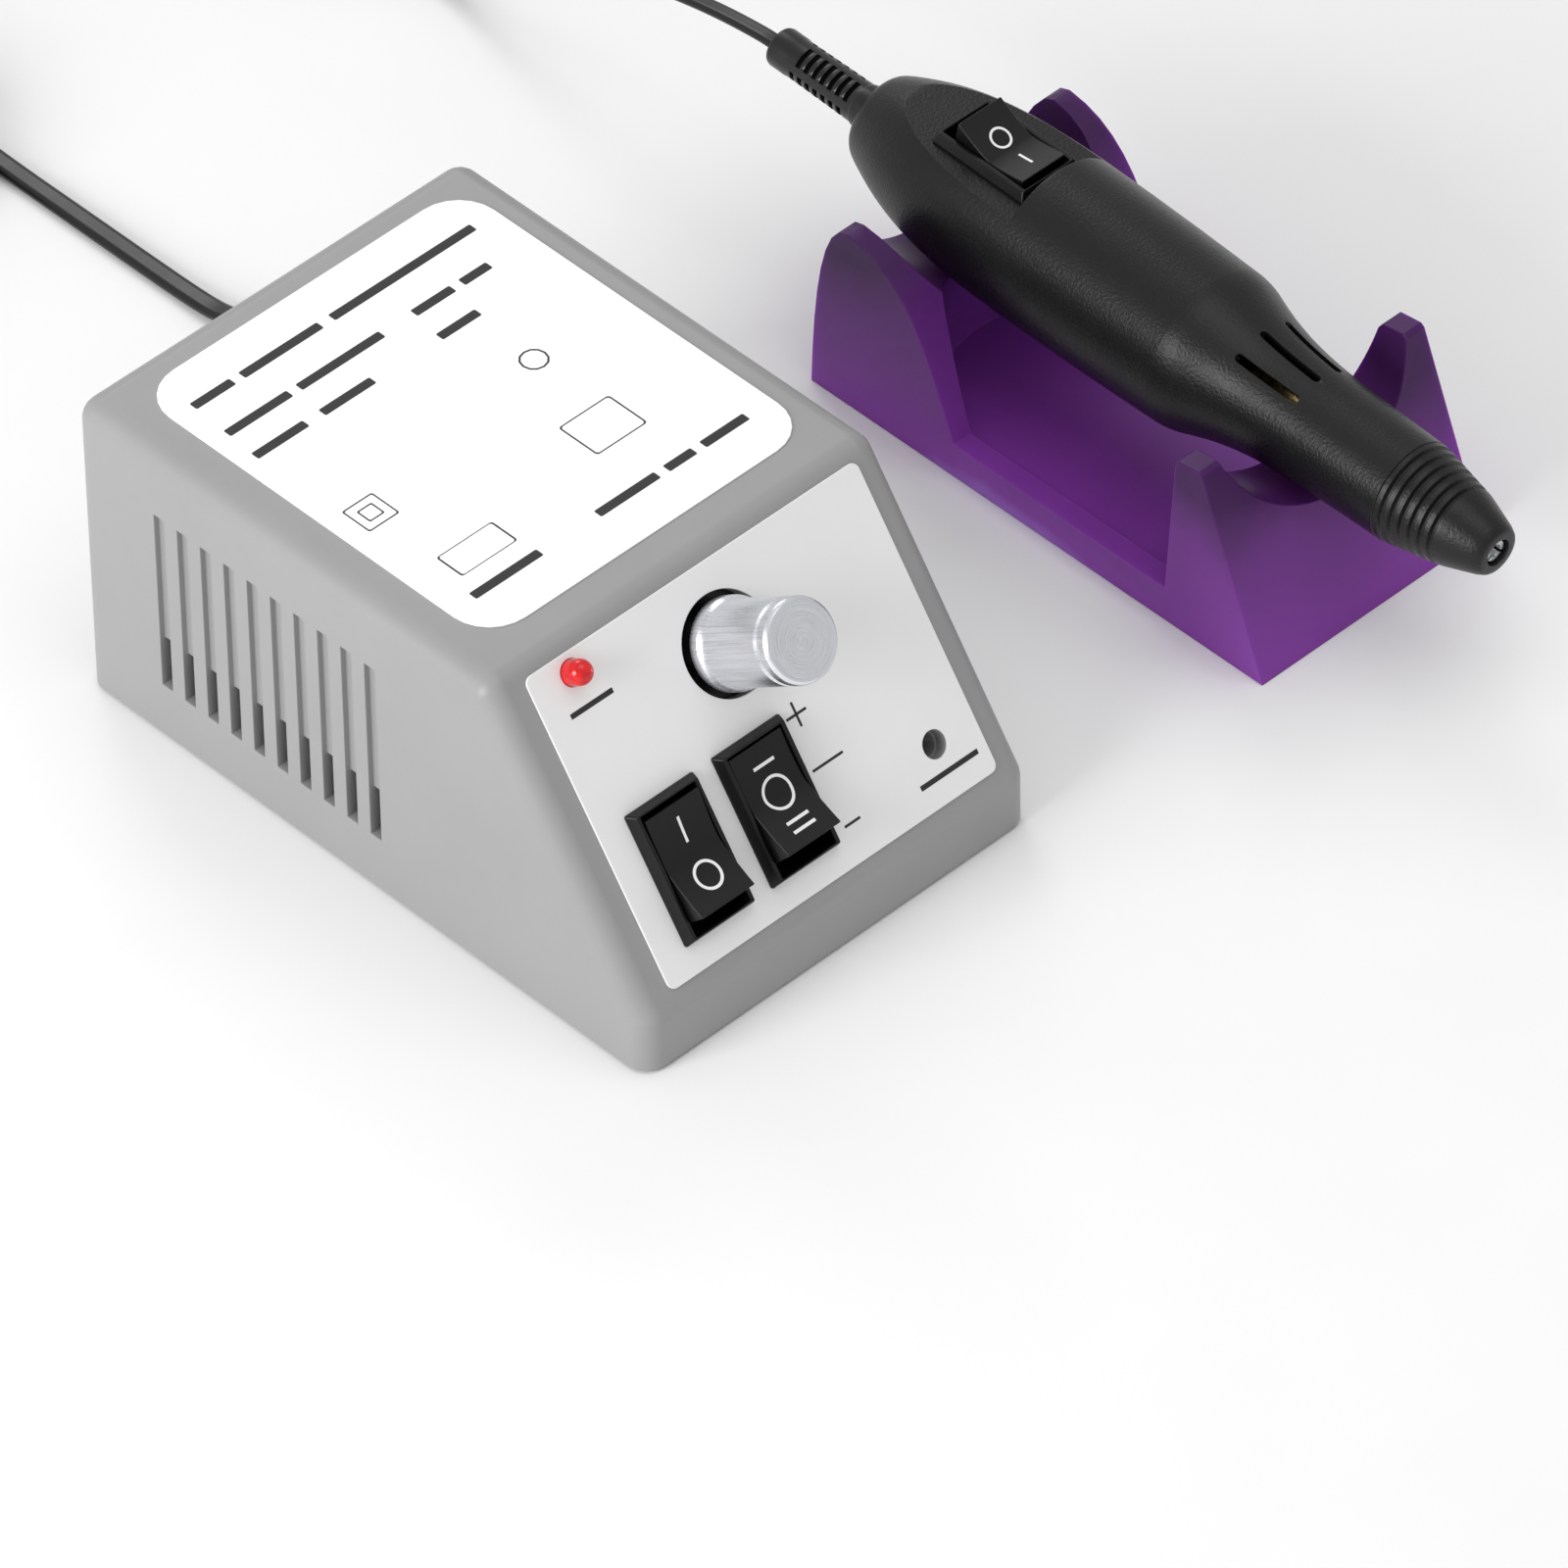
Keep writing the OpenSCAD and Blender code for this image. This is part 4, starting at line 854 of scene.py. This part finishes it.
def tipped(points, tilt):
    """Rocker points about the pivot, tipped so that the +Y end is down, then set at the pivot's height."""
    x, y, z = np.asarray(points, float).T
    turned_y = y * np.cos(tilt) + z * np.sin(tilt)
    turned_z = -y * np.sin(tilt) + z * np.cos(tilt) + PIVOT
    return np.column_stack([x, turned_y, turned_z])


def rocker_frame(w, l, rim_h, depth, inside_w):
    """Frame and body of a switch: rounded rectangles from the well's floor, over the rim and down outside."""
    well_w, well_l = inside_w + 0.4, l - 2.1
    return stepped([
        (well_w, well_l, 0.2, -6.9), (well_w, well_l, 0.2, rim_h - 0.15),
        (well_w + 0.3, well_l + 0.3, 0.3, rim_h),
        (w - 1.7, l - 1.5, 0.3, rim_h), (w - 1.5, l - 1.3, 0.3, rim_h - 0.12), (w - 0.1, l - 0.1, 0.4, 0.5),
        (w, l, 0.4, 0.35), (w, l, 0.4, 0.0), (w - 1.4, l - 1.8, 0.4, 0.0), (w - 1.4, l - 1.8, 0.4, -depth)])


def rocker_body(w, half, tilt):
    """A rocker: its bowl-shaped crest, straight ends and keel, pulled across its width, and its two pins."""
    y = np.linspace(half, -half, 25)
    side = list(zip(y, crest(y, half))) + [(-half, -0.6), (-half + 2.4, -2.4), (half - 2.4, -2.4), (half, -0.6)]
    body = along_x(side, -w / 2, w / 2)
    pins = []
    for sx in (-1, 1):
        pin = lathe([(0.8, 0), (0.8, 0.9)], 24)
        pins.append((np.column_stack([sx * (w / 2 + pin[0][:, 2] - 0.02), pin[0][:, 0], pin[0][:, 1]]), pin[1]))
    points, faces = joined([body] + pins)
    return tipped(points, tilt), faces


def printed_bar(cx, cy, w, l, half):
    """A bar on the crest: a strip of level rows, so that it follows the bowl."""
    rows = np.linspace(cy - l / 2, cy + l / 2, 7)
    loops = []
    for y in rows:
        low, high = crest(y, half) + SIGN_LOW, crest(y, half) + SIGN_HIGH
        near, far = cx - w / 2, cx + w / 2
        loops.append([(near, y, low), (far, y, low), (far, y, high), (near, y, high)])
    return loft(np.array(loops))


def printed_ring(cx, cy, r, width, half):
    """A ring on the crest, closed round."""
    t = TURN * np.arange(48) / 48
    inner, outer = r - width / 2, r + width / 2
    loops = []
    for radius, lift in ((inner, SIGN_LOW), (outer, SIGN_LOW), (outer, SIGN_HIGH), (inner, SIGN_HIGH)):
        y = cy + radius * np.sin(t)
        loops.append(np.column_stack([cx + radius * np.cos(t), y, crest(y, half) + lift]))
    return loft(np.stack(loops), ring=True)


def make_switch(place, size, degrees, marks, nodes, names):
    """One rocker switch: its frame, its rocker tipped by some degrees and the signs printed on it."""
    w, l, rim_h, depth, inside_w = size
    half = l / 2 - 2.85
    tilt = np.radians(degrees)
    body, rocker = rocker_frame(w, l, rim_h, depth, inside_w), rocker_body(inside_w, half, tilt)
    finished(names[0], body, place, "black_plastic", nodes[0], width=0.10)
    finished(names[1], rocker, place, "black_plastic", nodes[1], width=0.22, segments=3)
    shapes = []
    for kind, cx, cy, a, b in marks:
        points, faces = printed_ring(cx, cy, a, b, half) if kind == "ring" else printed_bar(cx, cy, a, b, half)
        shapes.append((tipped(points, tilt), faces))
    extra(names[2], joined(shapes), place, "white_print", BODIES[nodes[1]])


def make_panel_switches():
    """The power switch (I and O) and the polarity switch (I, O, II) on the panel."""
    at = panel_points()
    make_switch(slope_place(*at["power"], PANEL_T), PANEL_SWITCH, 10.0,
                [("bar", 0.1, 4.5, 0.5, 4.4), ("ring", 0.1, -3.7, 2.3, 0.5)],
                ("power_switch_housing", "power_rocker"), ("power_frame", "power_key", "power_signs"))
    make_switch(slope_place(*at["polarity"], PANEL_T), PANEL_SWITCH, 15.0,
                [("bar", 0.1, 5.4, 4.4, 0.55), ("ring", 0.1, 0.4, 2.7, 0.5), ("bar", 0.1, -4.6, 4.6, 0.55),
                 ("bar", 0.1, -6.3, 4.6, 0.55)],
                ("polarity_switch_housing", "polarity_rocker"),
                ("polarity_frame", "polarity_key", "polarity_signs"))


def make_hand_switch():
    """The handpiece's own switch, with its O towards the tail."""
    flat = bpy.context.scene.drill_hand.flat_height / MM
    place = Place(HAND.world([0, flat, HAND_SWITCH_A]), HAND.axes[0], HAND.axes[1])
    make_switch(place, HAND_SWITCH, 10.0,
                [("bar", 0.0, 3.6, 0.45, 3.0), ("ring", 0.0, -2.2, 1.75, 0.42)],
                ("hand_switch_housing", "hand_rocker"), ("hand_frame", "hand_key", "hand_signs"))


def make_lamp():
    """Lamp lens: a stem, a collar behind the panel and a domed end."""
    t = np.linspace(0, TURN / 4, 9)
    dome = [(2.2 * np.cos(a), 2.6 + 2.2 * np.sin(a)) for a in t[:-1]] + [(0.02, 4.8)]
    lens = lathe([(2.7, -4.0), (2.7, -2.5), (2.2, -2.5)] + dome, 48)
    finished("lamp_dome", lens, slope_place(*panel_points()["lamp"]), "red_lens", "lamp_lens")


# ---------- handpiece ----------

NOSE_L, NOSE_R, HAND_L, HAND_R, SEAM = 19.4, 9.2, 140.8, 15.2, 65.0
FLAT_A = 100.4  # where the flat for the switch begins
HAND_SWITCH_A = 112.0
SLOTS_A = 47.1
NO_FLAT = 99.0
BOOT_PITCH = 1.86


def spoke(a, degrees):
    """The frame at distance a on the handpiece's axis whose Z points straight out, at an angle from its X."""
    turn = np.radians(degrees)
    out = np.cos(turn) * HAND.axes[0] + np.sin(turn) * HAND.axes[1]
    return Place(HAND.world([0, 0, a]), HAND.axes[2], out)


def front_outline():
    """Outside of the front shell, as (radius, distance from the nose)."""
    return np.concatenate([
        [[NOSE_R, NOSE_L], [NOSE_R + 0.08, 24.0], [NOSE_R + 0.2, 29.0], [NOSE_R + 0.3, 33.0]],
        bezier((NOSE_R + 0.4, 37), (NOSE_R + 0.9, 47), (NOSE_R + 1.6, 53), (HAND_R - 1.3, 61.4), 16),
        bezier((HAND_R - 1.3, 61.4), (HAND_R - 0.8, 63), (HAND_R - 0.7, 64), (HAND_R - 0.6, SEAM), 4)[1:]])


def rear_outline():
    """Outside of the rear shell, as (radius, distance from the nose)."""
    return np.concatenate([
        [[HAND_R - 0.6, SEAM], [HAND_R - 0.4, SEAM + 7], [HAND_R - 0.2, SEAM + 15], [HAND_R - 0.05, SEAM + 25]],
        bezier((HAND_R, HAND_L - 40.8), (HAND_R, HAND_L - 18.8), (HAND_R - 2.6, HAND_L - 10.8),
               (HAND_R - 6.3, HAND_L - 2.2), 28),
        bezier((HAND_R - 6.5, HAND_L - 1.8), (HAND_R - 6.9, HAND_L - 0.9), (HAND_R - 7.4, HAND_L - 0.1),
               (HAND_R - 8.4, HAND_L), 5)])


def make_nose():
    """Nose cone: one profile whose ribs are six round-bottomed grooves."""
    def skin(a):
        return float(np.interp(a, [0.35, 1.5, 4.0, 7.6, NOSE_L - 2, NOSE_L],
                               [4.3, 4.9, 5.75, 6.95, NOSE_R - 0.3, NOSE_R]))

    outside = [(3.1, 0.0), (3.7, 0.05), (4.1, 0.2)] + [(skin(a), a) for a in (0.45, 1.5, 3.0, 4.5, 6.0, 7.4)]
    for k in range(6):
        a = 8.15 + 1.85 * k
        deep = skin(a) - 0.55
        outside += [(skin(a), a), (deep + 0.12, a + 0.12), (deep, a + 0.35), (deep, a + 0.6),
                    (deep + 0.2, a + 0.8), (skin(a + 1.0), a + 1.0)]
    outside += [(NOSE_R - 0.05, NOSE_L - 0.15), (NOSE_R - 0.2, NOSE_L)]
    inside = [(6.55, NOSE_L), (6.55, 13.5), (4.5, 13.5), (4.5, 9.0), (2.25, 9.0), (2.25, 0.35), (2.5, 0.0)]
    finished("ribbed_nose", lathe(outside + inside, 128, ring=True), HAND, "casing", "nose_cone", angle=50.0)


def make_front_shell():
    """Front shell: outside and inside outlines as one closed ring, with three slots for air."""
    wall = bpy.context.scene.drill_hand.shell_wall / MM
    outside = front_outline().tolist()
    lip = HAND_R - 0.6 - wall
    middle = [(r - wall, a) for r, a in outside if 36 < a < SEAM - 3]
    inside = [(lip, SEAM), (lip, SEAM + 3), (lip - 0.9, SEAM + 3), (lip - 0.9, SEAM - 2)] + middle[::-1] + [
        (6.5, 34.0), (6.5, 30.0), (4.2, 30.0), (4.2, 13.8), (6.5, 13.8), (6.5, NOSE_L)]
    outside[0] = [NOSE_R - 0.15, NOSE_L]
    outside.insert(1, [NOSE_R, NOSE_L + 0.15])
    obj = piece("front_casing", lathe(outside + inside, 128, ring=True), HAND)
    slot = prism(rounded(13.2, 1.5, 0.7, 5), 5.0, 20.0)
    carve(obj, in_row([moved(slot, spoke(SLOTS_A, turn)) for turn in (60.0, 90.0, 120.0)]))
    dress(soften(obj, 0.1, 2, 40.0), "casing", "front_shell")


def faceted(r, a, flat, across, around):
    """Loop of a casing ring at distance a: radius r, but no higher than the flat above the axis.

    Columns are shared out so that a fixed number lie on the flat, and its edges stay on grid lines.
    """
    edge = np.arccos(np.clip(flat / HAND_R, 0, 1)) if a <= FLAT_A else np.arccos(np.clip(flat / r, 0, 0.995))
    t = np.concatenate([np.linspace(-edge, edge, across, endpoint=False),
                        np.linspace(edge, TURN - edge, around, endpoint=False)])
    reach = np.minimum(r, flat / np.maximum(np.cos(t), 1e-6)) if a > FLAT_A else np.full(len(t), r)
    reach = np.where(np.cos(t) > 0, reach, r)
    return np.column_stack([-reach * np.sin(t), reach * np.cos(t), np.full(len(t), a)])


def make_rear_shell():
    """Rear shell: a closed ring of outside and inside outlines, flattened on top where the switch sits."""
    hand = bpy.context.scene.drill_hand
    wall, flat = hand.shell_wall / MM, hand.flat_height / MM
    outside = rear_outline()
    before = outside[outside[:, 1] < FLAT_A]
    after = outside[outside[:, 1] > FLAT_A + 0.1]
    rows = [(r, a, flat) for r, a in before] + [(HAND_R, FLAT_A, flat), (HAND_R, FLAT_A + 0.001, flat)]
    rows += [(r, a, flat) for r, a in after] + [(2.65, HAND_L, flat), (2.65, HAND_L - 2.6, flat)]
    inner = [(r - wall, a, flat - wall) for r, a in after if a < HAND_L - 3]
    inner.append((HAND_R - 8.7, HAND_L - 2.6, flat))
    rows += inner[::-1] + [(HAND_R - wall, FLAT_A - wall + 0.1, NO_FLAT),
                           (HAND_R - 0.55 - wall, SEAM + 4, NO_FLAT), (HAND_R - 0.55 - wall, SEAM, NO_FLAT)]
    loops = np.stack([faceted(r, a, r * 0.9999 if f == NO_FLAT else f, 28, 100) for r, a, f in rows])
    obj = piece("rear_casing", loft(loops, ring=True), HAND)
    carve(obj, box_shape((-6.1, 3, HAND_SWITCH_A - 9.7), (6.1, 20, HAND_SWITCH_A + 9.7)), HAND)
    dress(soften(obj, 0.12, 2, 30.0), "casing", "rear_shell")


def make_boot():
    """Cord boot: a tapered sleeve between two plain collars, cut by four columns of cross slots."""
    low = HAND_L
    profile = [(3.55, low - 4.2), (3.6, low - 4.1), (3.6, low - 2.8), (2.6, low - 2.7), (2.6, low), (3.6, low),
               (3.9, low + 0.25), (3.95, low + 3.6), (3.75, low + 4.0), (3.7, low + 4.1), (3.5, low + 19.5),
               (3.6, low + 19.7), (3.62, low + 23.0), (3.45, low + 23.5), (3.2, low + 23.6)]
    obj = piece("ribbed_boot", lathe(profile, 64), HAND)
    slots = []
    for column in range(4):
        for k in range(7):
            spot = spoke(low + 5.4 + BOOT_PITCH * (k + column % 2 / 2), 62 + 90 * column)
            slots.append(moved(box_shape((-0.5, -1.95, 2.3), (0.5, 1.95, 6.0)), spot))
    carve(obj, in_row(slots))
    return dress(soften(obj, 0.1, 1, 40.0), "cord_rubber", "cord_boot")


def make_stand():
    """The stand's own solid with its edges rounded."""
    edge = bpy.context.scene.drill_hand.stand_edge / MM
    dress(soften(merged_copy("stand", "cradle"), edge, 3), "purple_acrylic", "stand")


# ---------- leads ----------

MAINS_ROUTE = [(-18, 105, 11.6), (-18, 108, 11.4), (-18, 112, 10.2), (-18, 116, 8.4), (-18, 121, 5.6),
               (-18, 126, 3.2), (-18, 131, 1.8), (-18, 138, 1.3), (-18, 148, 1.2), (-18, 158, 1.2),
               (-18, 168, 1.2), (-18, 178, 1.2), (-18, 188, 1.4), (-18, 200, 1.8)]
MAINS_TAIL = [(-52, 232, 8.2), (-58, 232, 7.4), (-64, 232, 6.9)]
LEAD_ROUTE = [(66.6, 83.5, 36.9), (66.6, 87, 36.9), (66.6, 93, 36.3), (66.6, 99, 35.4), (66.6, 105, 34.2),
              (66.6, 112, 32.5), (66.6, 119, 30.2), (66.6, 126, 27), (66.6, 133, 23), (66.6, 140, 18.2),
              (66.6, 147, 13.2), (66.6, 154, 8.5), (66.6, 161, 4.7), (66.6, 168, 2.3), (66.6, 175, 1.3),
              (66.6, 184, 1.6)]
LEAD_TAIL = [(108, 182, 7.2), (108, 176, 5.2), (108, 171, 4.2)]
MAINS_COIL, LEAD_COIL = (-44, 206), (87.3, 190)


def tie_band(centre, radii, w, height, angle):
    """A flat band closed round one place of a coil, its corners rounded like soft wire."""
    middle, span = sum(radii) / 2, radii[1] - radii[0] + w + 1.0
    low, high = 0.02, 0.6 + height + 0.6
    ring = rounded(span, high - low, 1.0, 4)
    inner = rounded(span - 0.9, high - low - 0.9, 0.6, 4)
    loops = []
    for side, y in ((ring, -2.4), (ring, 2.4), (inner, 2.4), (inner, -2.4)):
        loops.append(np.column_stack([side[:, 0], np.full(len(side), y), side[:, 1] + (low + high) / 2]))
    a = np.radians(angle)
    place = Place(ROW.world([centre[0] + middle * np.cos(a), centre[1] + middle * np.sin(a), 0]),
                  (np.cos(a), np.sin(a), 0), (0, 0, 1))
    return loft(np.stack(loops), ring=True), place


def lay_lead(name, route, coil, tail, width, thickness):
    """A flat lead along its route, its coil and its tail, with the path that it follows."""
    path = np.concatenate([smooth_path(route, 4), coil, smooth_path([coil[-1]] + tail, 4)[1:]])
    obj = piece(name, sweep(path, flat_section(width, thickness)))
    soften(obj, angle=70.0)
    return obj, path


def make_tie(name, node, *band):
    """The tie round a coil."""
    return finished(name, *tie_band(*band), "rubber", node, width=0.1)


def make_mains_lead():
    """Mains lead: out of its sleeve, down to the table, into a tied coil and on to its plug."""
    s = bpy.context.scene.drill_leads
    w, h = s.mains_width / MM, s.mains_thickness / MM
    outer, inner = 26.0, 21.5
    coil = coil_path(MAINS_COIL, [outer, inner, inner, outer, outer, inner, inner, outer],
                     [1.8 + 2.4 * (k // 2) for k in range(8)], 0.0, 1, 0.25)
    obj, path = lay_lead("mains_lead", MAINS_ROUTE, coil, MAINS_TAIL, w, h)
    dress(obj, "cord_rubber", "mains_cord", "mains_cord_coil")
    tie = make_tie("mains_tie", "mains_cord_tie", MAINS_COIL, (inner, outer), w, 9.6, -60.0)

    profile = [(4.4, -4.3), (4.5, -2.5), (3.1, -2.5), (3.1, 0.0), (4.4, 0.0), (4.5, 0.3), (4.5, 2.7),
               (4.3, 3.0)]
    for k in range(5):
        a, deep = 6.2 + 3.4 * k, 3.45 - 0.22 * k
        skin = 4.1 - 0.0714 * (a - 3.0)
        profile += [(skin, a), (deep + 0.1, a + 0.1), (deep, a + 0.25), (deep, a + 0.9), (skin - 0.08, a + 1.1)]
    profile += [(2.6, 23.7), (2.3, 24.0)]
    sleeve = finished("mains_sleeve", lathe(profile, 64), OUTLET, "cord_rubber", "mains_strain_relief",
                      angle=40.0)

    plug_place = Place(ROW.world((-64, 232, 6.85)), (0, 1, 0), (-1, 0, 0))
    sections = [(8.4, 6.9, 3.2, 0.0), (9.0, 7.5, 3.6, 0.5), (12.0, 8.6, 4.0, 6.0), (20.0, 11.0, 4.6, 13.0),
                (28.0, 12.8, 5.2, 19.0), (33.0, 13.5, 5.6, 24.5), (34.8, 13.7, 5.8, 29.0),
                (34.8, 13.7, 5.8, 35.2), (34.0, 12.9, 5.4, 36.0)]
    plug = finished("mains_plug", stepped(sections), plug_place, "cord_rubber", "mains_plug_body", angle=40.0)
    pins = []
    for y in (-9.3, 9.3):
        t = np.linspace(0, TURN / 4, 7)
        tip = [(2 * np.cos(a), 17 + 2 * np.sin(a)) for a in t[:-1]] + [(0.02, 19.0)]
        pin = lathe([(2.0, 36.0)] + [(r, 36.0 + z) for r, z in [(2.0, 9.8), (1.85, 10.0)] + tip], 32)
        pins.append(offset(pin, y, 0))
    prongs = finished("mains_prongs", joined(pins), plug_place, "steel", "mains_plug_pins")


def make_hand_lead():
    """Handpiece lead: it hangs from the boot to the table, then lies coiled behind the set with its plug."""
    s = bpy.context.scene.drill_leads
    w, h = s.lead_width / MM, s.lead_thickness / MM
    outer, inner = 20.7, 17.3
    coil = coil_path(LEAD_COIL, [outer, inner, inner, outer, outer, inner, inner, outer, inner, outer],
                     [1.6 + 2.0 * (k // 2) for k in range(10)], TURN / 2, -1, 0.5)
    obj, path = lay_lead("hand_lead", LEAD_ROUTE, coil, LEAD_TAIL, w, h)
    obj.data.materials.append(FINISH["cord_rubber"])
    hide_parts("handpiece_cord", "handpiece_cord_coil")
    tuple(ROW.world((66.6, 86, 36.5)))
    tuple(ROW.world((66.6, 158, 6)))
    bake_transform(obj)
    tie = make_tie("lead_tie", "handpiece_cord_tie", LEAD_COIL, (inner, outer), w, 10.0, 240.0)

    plug_place = Place(ROW.world((108, 171, 4.2)), (1, 0, 0), (0, -1, 0))
    profile = [(1.9, 0.0), (2.3, 0.3)]
    for k in range(5):
        a, r = 1.0 + 1.7 * k, 2.35 + 0.24 * k
        profile += [(r, a), (r - 0.35, a + 0.15), (r - 0.35, a + 0.7), (r + 0.1, a + 0.85)]
    profile += [(3.6, 9.7), (4.1, 10.0), (4.2, 10.5), (4.2, 24.3), (3.9, 24.9), (3.6, 25.0)]
    plug = finished("lead_plug", lathe(profile, 64), plug_place, "cord_rubber", "dc_plug_body", angle=40.0)
    barrel = lathe([(0.85, 34.5), (1.8, 34.5), (2.0, 34.2), (2.0, 25.0), (0.0, 25.0), (0.0, 26.0),
                    (0.85, 26.0)], 48, ring=True)
    sleeve = finished("lead_barrel", barrel, plug_place, "steel", "dc_plug_barrel")
    boot = make_boot()


# ---------- carried-over CAD nodes ----------


def finish_cad_nodes():
    """Gives every CAD node that still shows its slot's finish, joined shading and slightly rounded edges."""
    special = {"dc_jack_body": "socket"}
    for name, obj in frame["nodes"].items():
        material = FINISH[special.get(name, SLOTS[name])]
        obj.data.materials.clear()
        obj.data.materials.append(material)
        if obj.hide_render:
            continue
        weld = obj.modifiers.new("join triangles", "WELD")
        weld.merge_threshold = 2e-6
        bevel_edges(obj, 0.12, 1, 40.0)


# ---------- stage ----------


VIEW_ANGLES = (-43.543, 43.414, -0.913)  # azimuth, elevation and roll, in degrees
VIEW_SPOT = (21.584, 46.281, 2407.19)  # right, up and back from the unit's corner, in millimetres
FOCAL_LENGTH = 352.455


def make_camera():
    """Camera on the view's own axes: azimuth, elevation and a small roll, with a long lens."""
    azimuth, elevation, roll = np.radians(VIEW_ANGLES)
    tilt = Matrix.Rotation(TURN / 4 - elevation, 3, "X")
    turn = Matrix.Rotation(azimuth, 3, "Z") @ tilt @ Matrix.Rotation(roll, 3, "Z")
    data = bpy.data.cameras.new("camera")
    data.sensor_width = 36.0
    data.lens = FOCAL_LENGTH
    data.clip_start, data.clip_end = 0.1, 20.0
    camera = linked("camera", data)
    camera.matrix_world = Matrix.Translation(UNIT.world(turn @ Vector(VIEW_SPOT))) @ turn.to_4x4()
    bpy.context.scene.camera = camera


def soft_light(name, spot, target, power, size, tint=(1, 1, 1)):
    """A square area light turned to face its target."""
    data = bpy.data.lights.new(name, "AREA")
    data.energy, data.size, data.color = power, size, tint
    obj = linked(name, data)
    obj.location = spot
    obj.rotation_euler = (Vector(target) - Vector(spot)).to_track_quat("-Z", "Y").to_euler()


def make_stage():
    """Pale floor, even sky and three soft lights."""
    floor = piece("floor", prism(rounded(6000, 6000, 300, 6), -2.0, -0.02))
    n = Nodes("pale floor")
    n.paint(n.noise(20.0), [(0.3, (0.90, 0.90, 0.90)), (0.7, (0.92, 0.92, 0.92))])
    n.set(roughness=0.85)
    floor.data.materials.append(n.material)
    world = bpy.data.worlds.new("studio")
    world.use_nodes = True
    world.node_tree.nodes["Background"].inputs[0].default_value = (1, 1, 1, 1)
    world.node_tree.nodes["Background"].inputs[1].default_value = 0.64
    bpy.context.scene.world = world
    bpy.context.scene.view_settings.view_transform = "Standard"
    target = (0.0, 0.0, 0.03)
    soft_light("left window", (-1.1, 0.10, 0.46), target, 9.5, 0.6)
    soft_light("back strip", (0.5, 1.0, 0.9), target, 2.5, 0.5)
    soft_light("top softbox", (0.1, -0.2, 1.5), target, 3.5, 1.0)


# ---------- operators and panel ----------


def operator(idname, label, text, *makers):
    """An operator class that runs the makers in order."""

    def execute(self, context):
        for make in makers:
            make()
        return {"FINISHED"}

    body = {"bl_idname": idname, "bl_label": label, "__doc__": text, "execute": execute}
    return type("DRILL_OT_" + idname.split(".")[1], (bpy.types.Operator,), body)


def prepare_finishes():
    """Fills FINISH, once the settings can be read."""
    FINISH.update(finishes())


OPERATORS = [
    operator("drill.camera", "Camera", "Place the camera", make_camera),
    operator("drill.finishes", "Finishes", "Make every material", prepare_finishes),
    operator("drill.leads", "Leads", "Build both leads with their sleeves and plugs",
             make_mains_lead, make_hand_lead),
    operator("drill.housing", "Housing", "Build the housing", make_housing),
    operator("drill.panel", "Panel", "Build the panel plate and the label", make_panel, make_label),
    operator("drill.knob", "Knob", "Build the speed knob and the lamp", make_knob, make_lamp),
    operator("drill.switches", "Switches", "Build the three rocker switches",
             make_panel_switches, make_hand_switch),
    operator("drill.casing", "Casing", "Build the handpiece's casing",
             make_nose, make_front_shell, make_rear_shell),
    operator("drill.stand", "Stand", "Build the stand", make_stand),
    operator("drill.inner_parts", "Inner parts", "Finish the remaining CAD parts", finish_cad_nodes),
    operator("drill.stage", "Stage", "Build the floor and lights", make_stage),
]


class DRILL_PT_panel(bpy.types.Panel):
    """Settings and build steps of the nail drill set."""

    bl_label = "Nail drill set"
    bl_idname = "DRILL_PT_panel"
    bl_space_type = "VIEW_3D"
    bl_region_type = "UI"
    bl_category = "Nail drill"

    def draw(self, context):
        for group in (context.scene.drill_unit, context.scene.drill_hand, context.scene.drill_leads):
            for name in group.__annotations__:
                self.layout.prop(group, name)
        for step in OPERATORS:
            self.layout.operator(step.bl_idname)


CLASSES = [UnitSettings, HandSettings, LeadSettings, *OPERATORS, DRILL_PT_panel]


def register():
    for each in CLASSES:
        bpy.utils.register_class(each)
    bpy.types.Scene.drill_unit = PointerProperty(type=UnitSettings)
    bpy.types.Scene.drill_hand = PointerProperty(type=HandSettings)
    bpy.types.Scene.drill_leads = PointerProperty(type=LeadSettings)


def unregister():
    for name in ("drill_unit", "drill_hand", "drill_leads"):
        delattr(bpy.types.Scene, name)
    for each in reversed(CLASSES):
        bpy.utils.unregister_class(each)


def main():
    register()
    for step in OPERATORS:
        group, name = step.bl_idname.split(".")
        getattr(getattr(bpy.ops, group), name)()


if __name__ == "__main__":
    main()
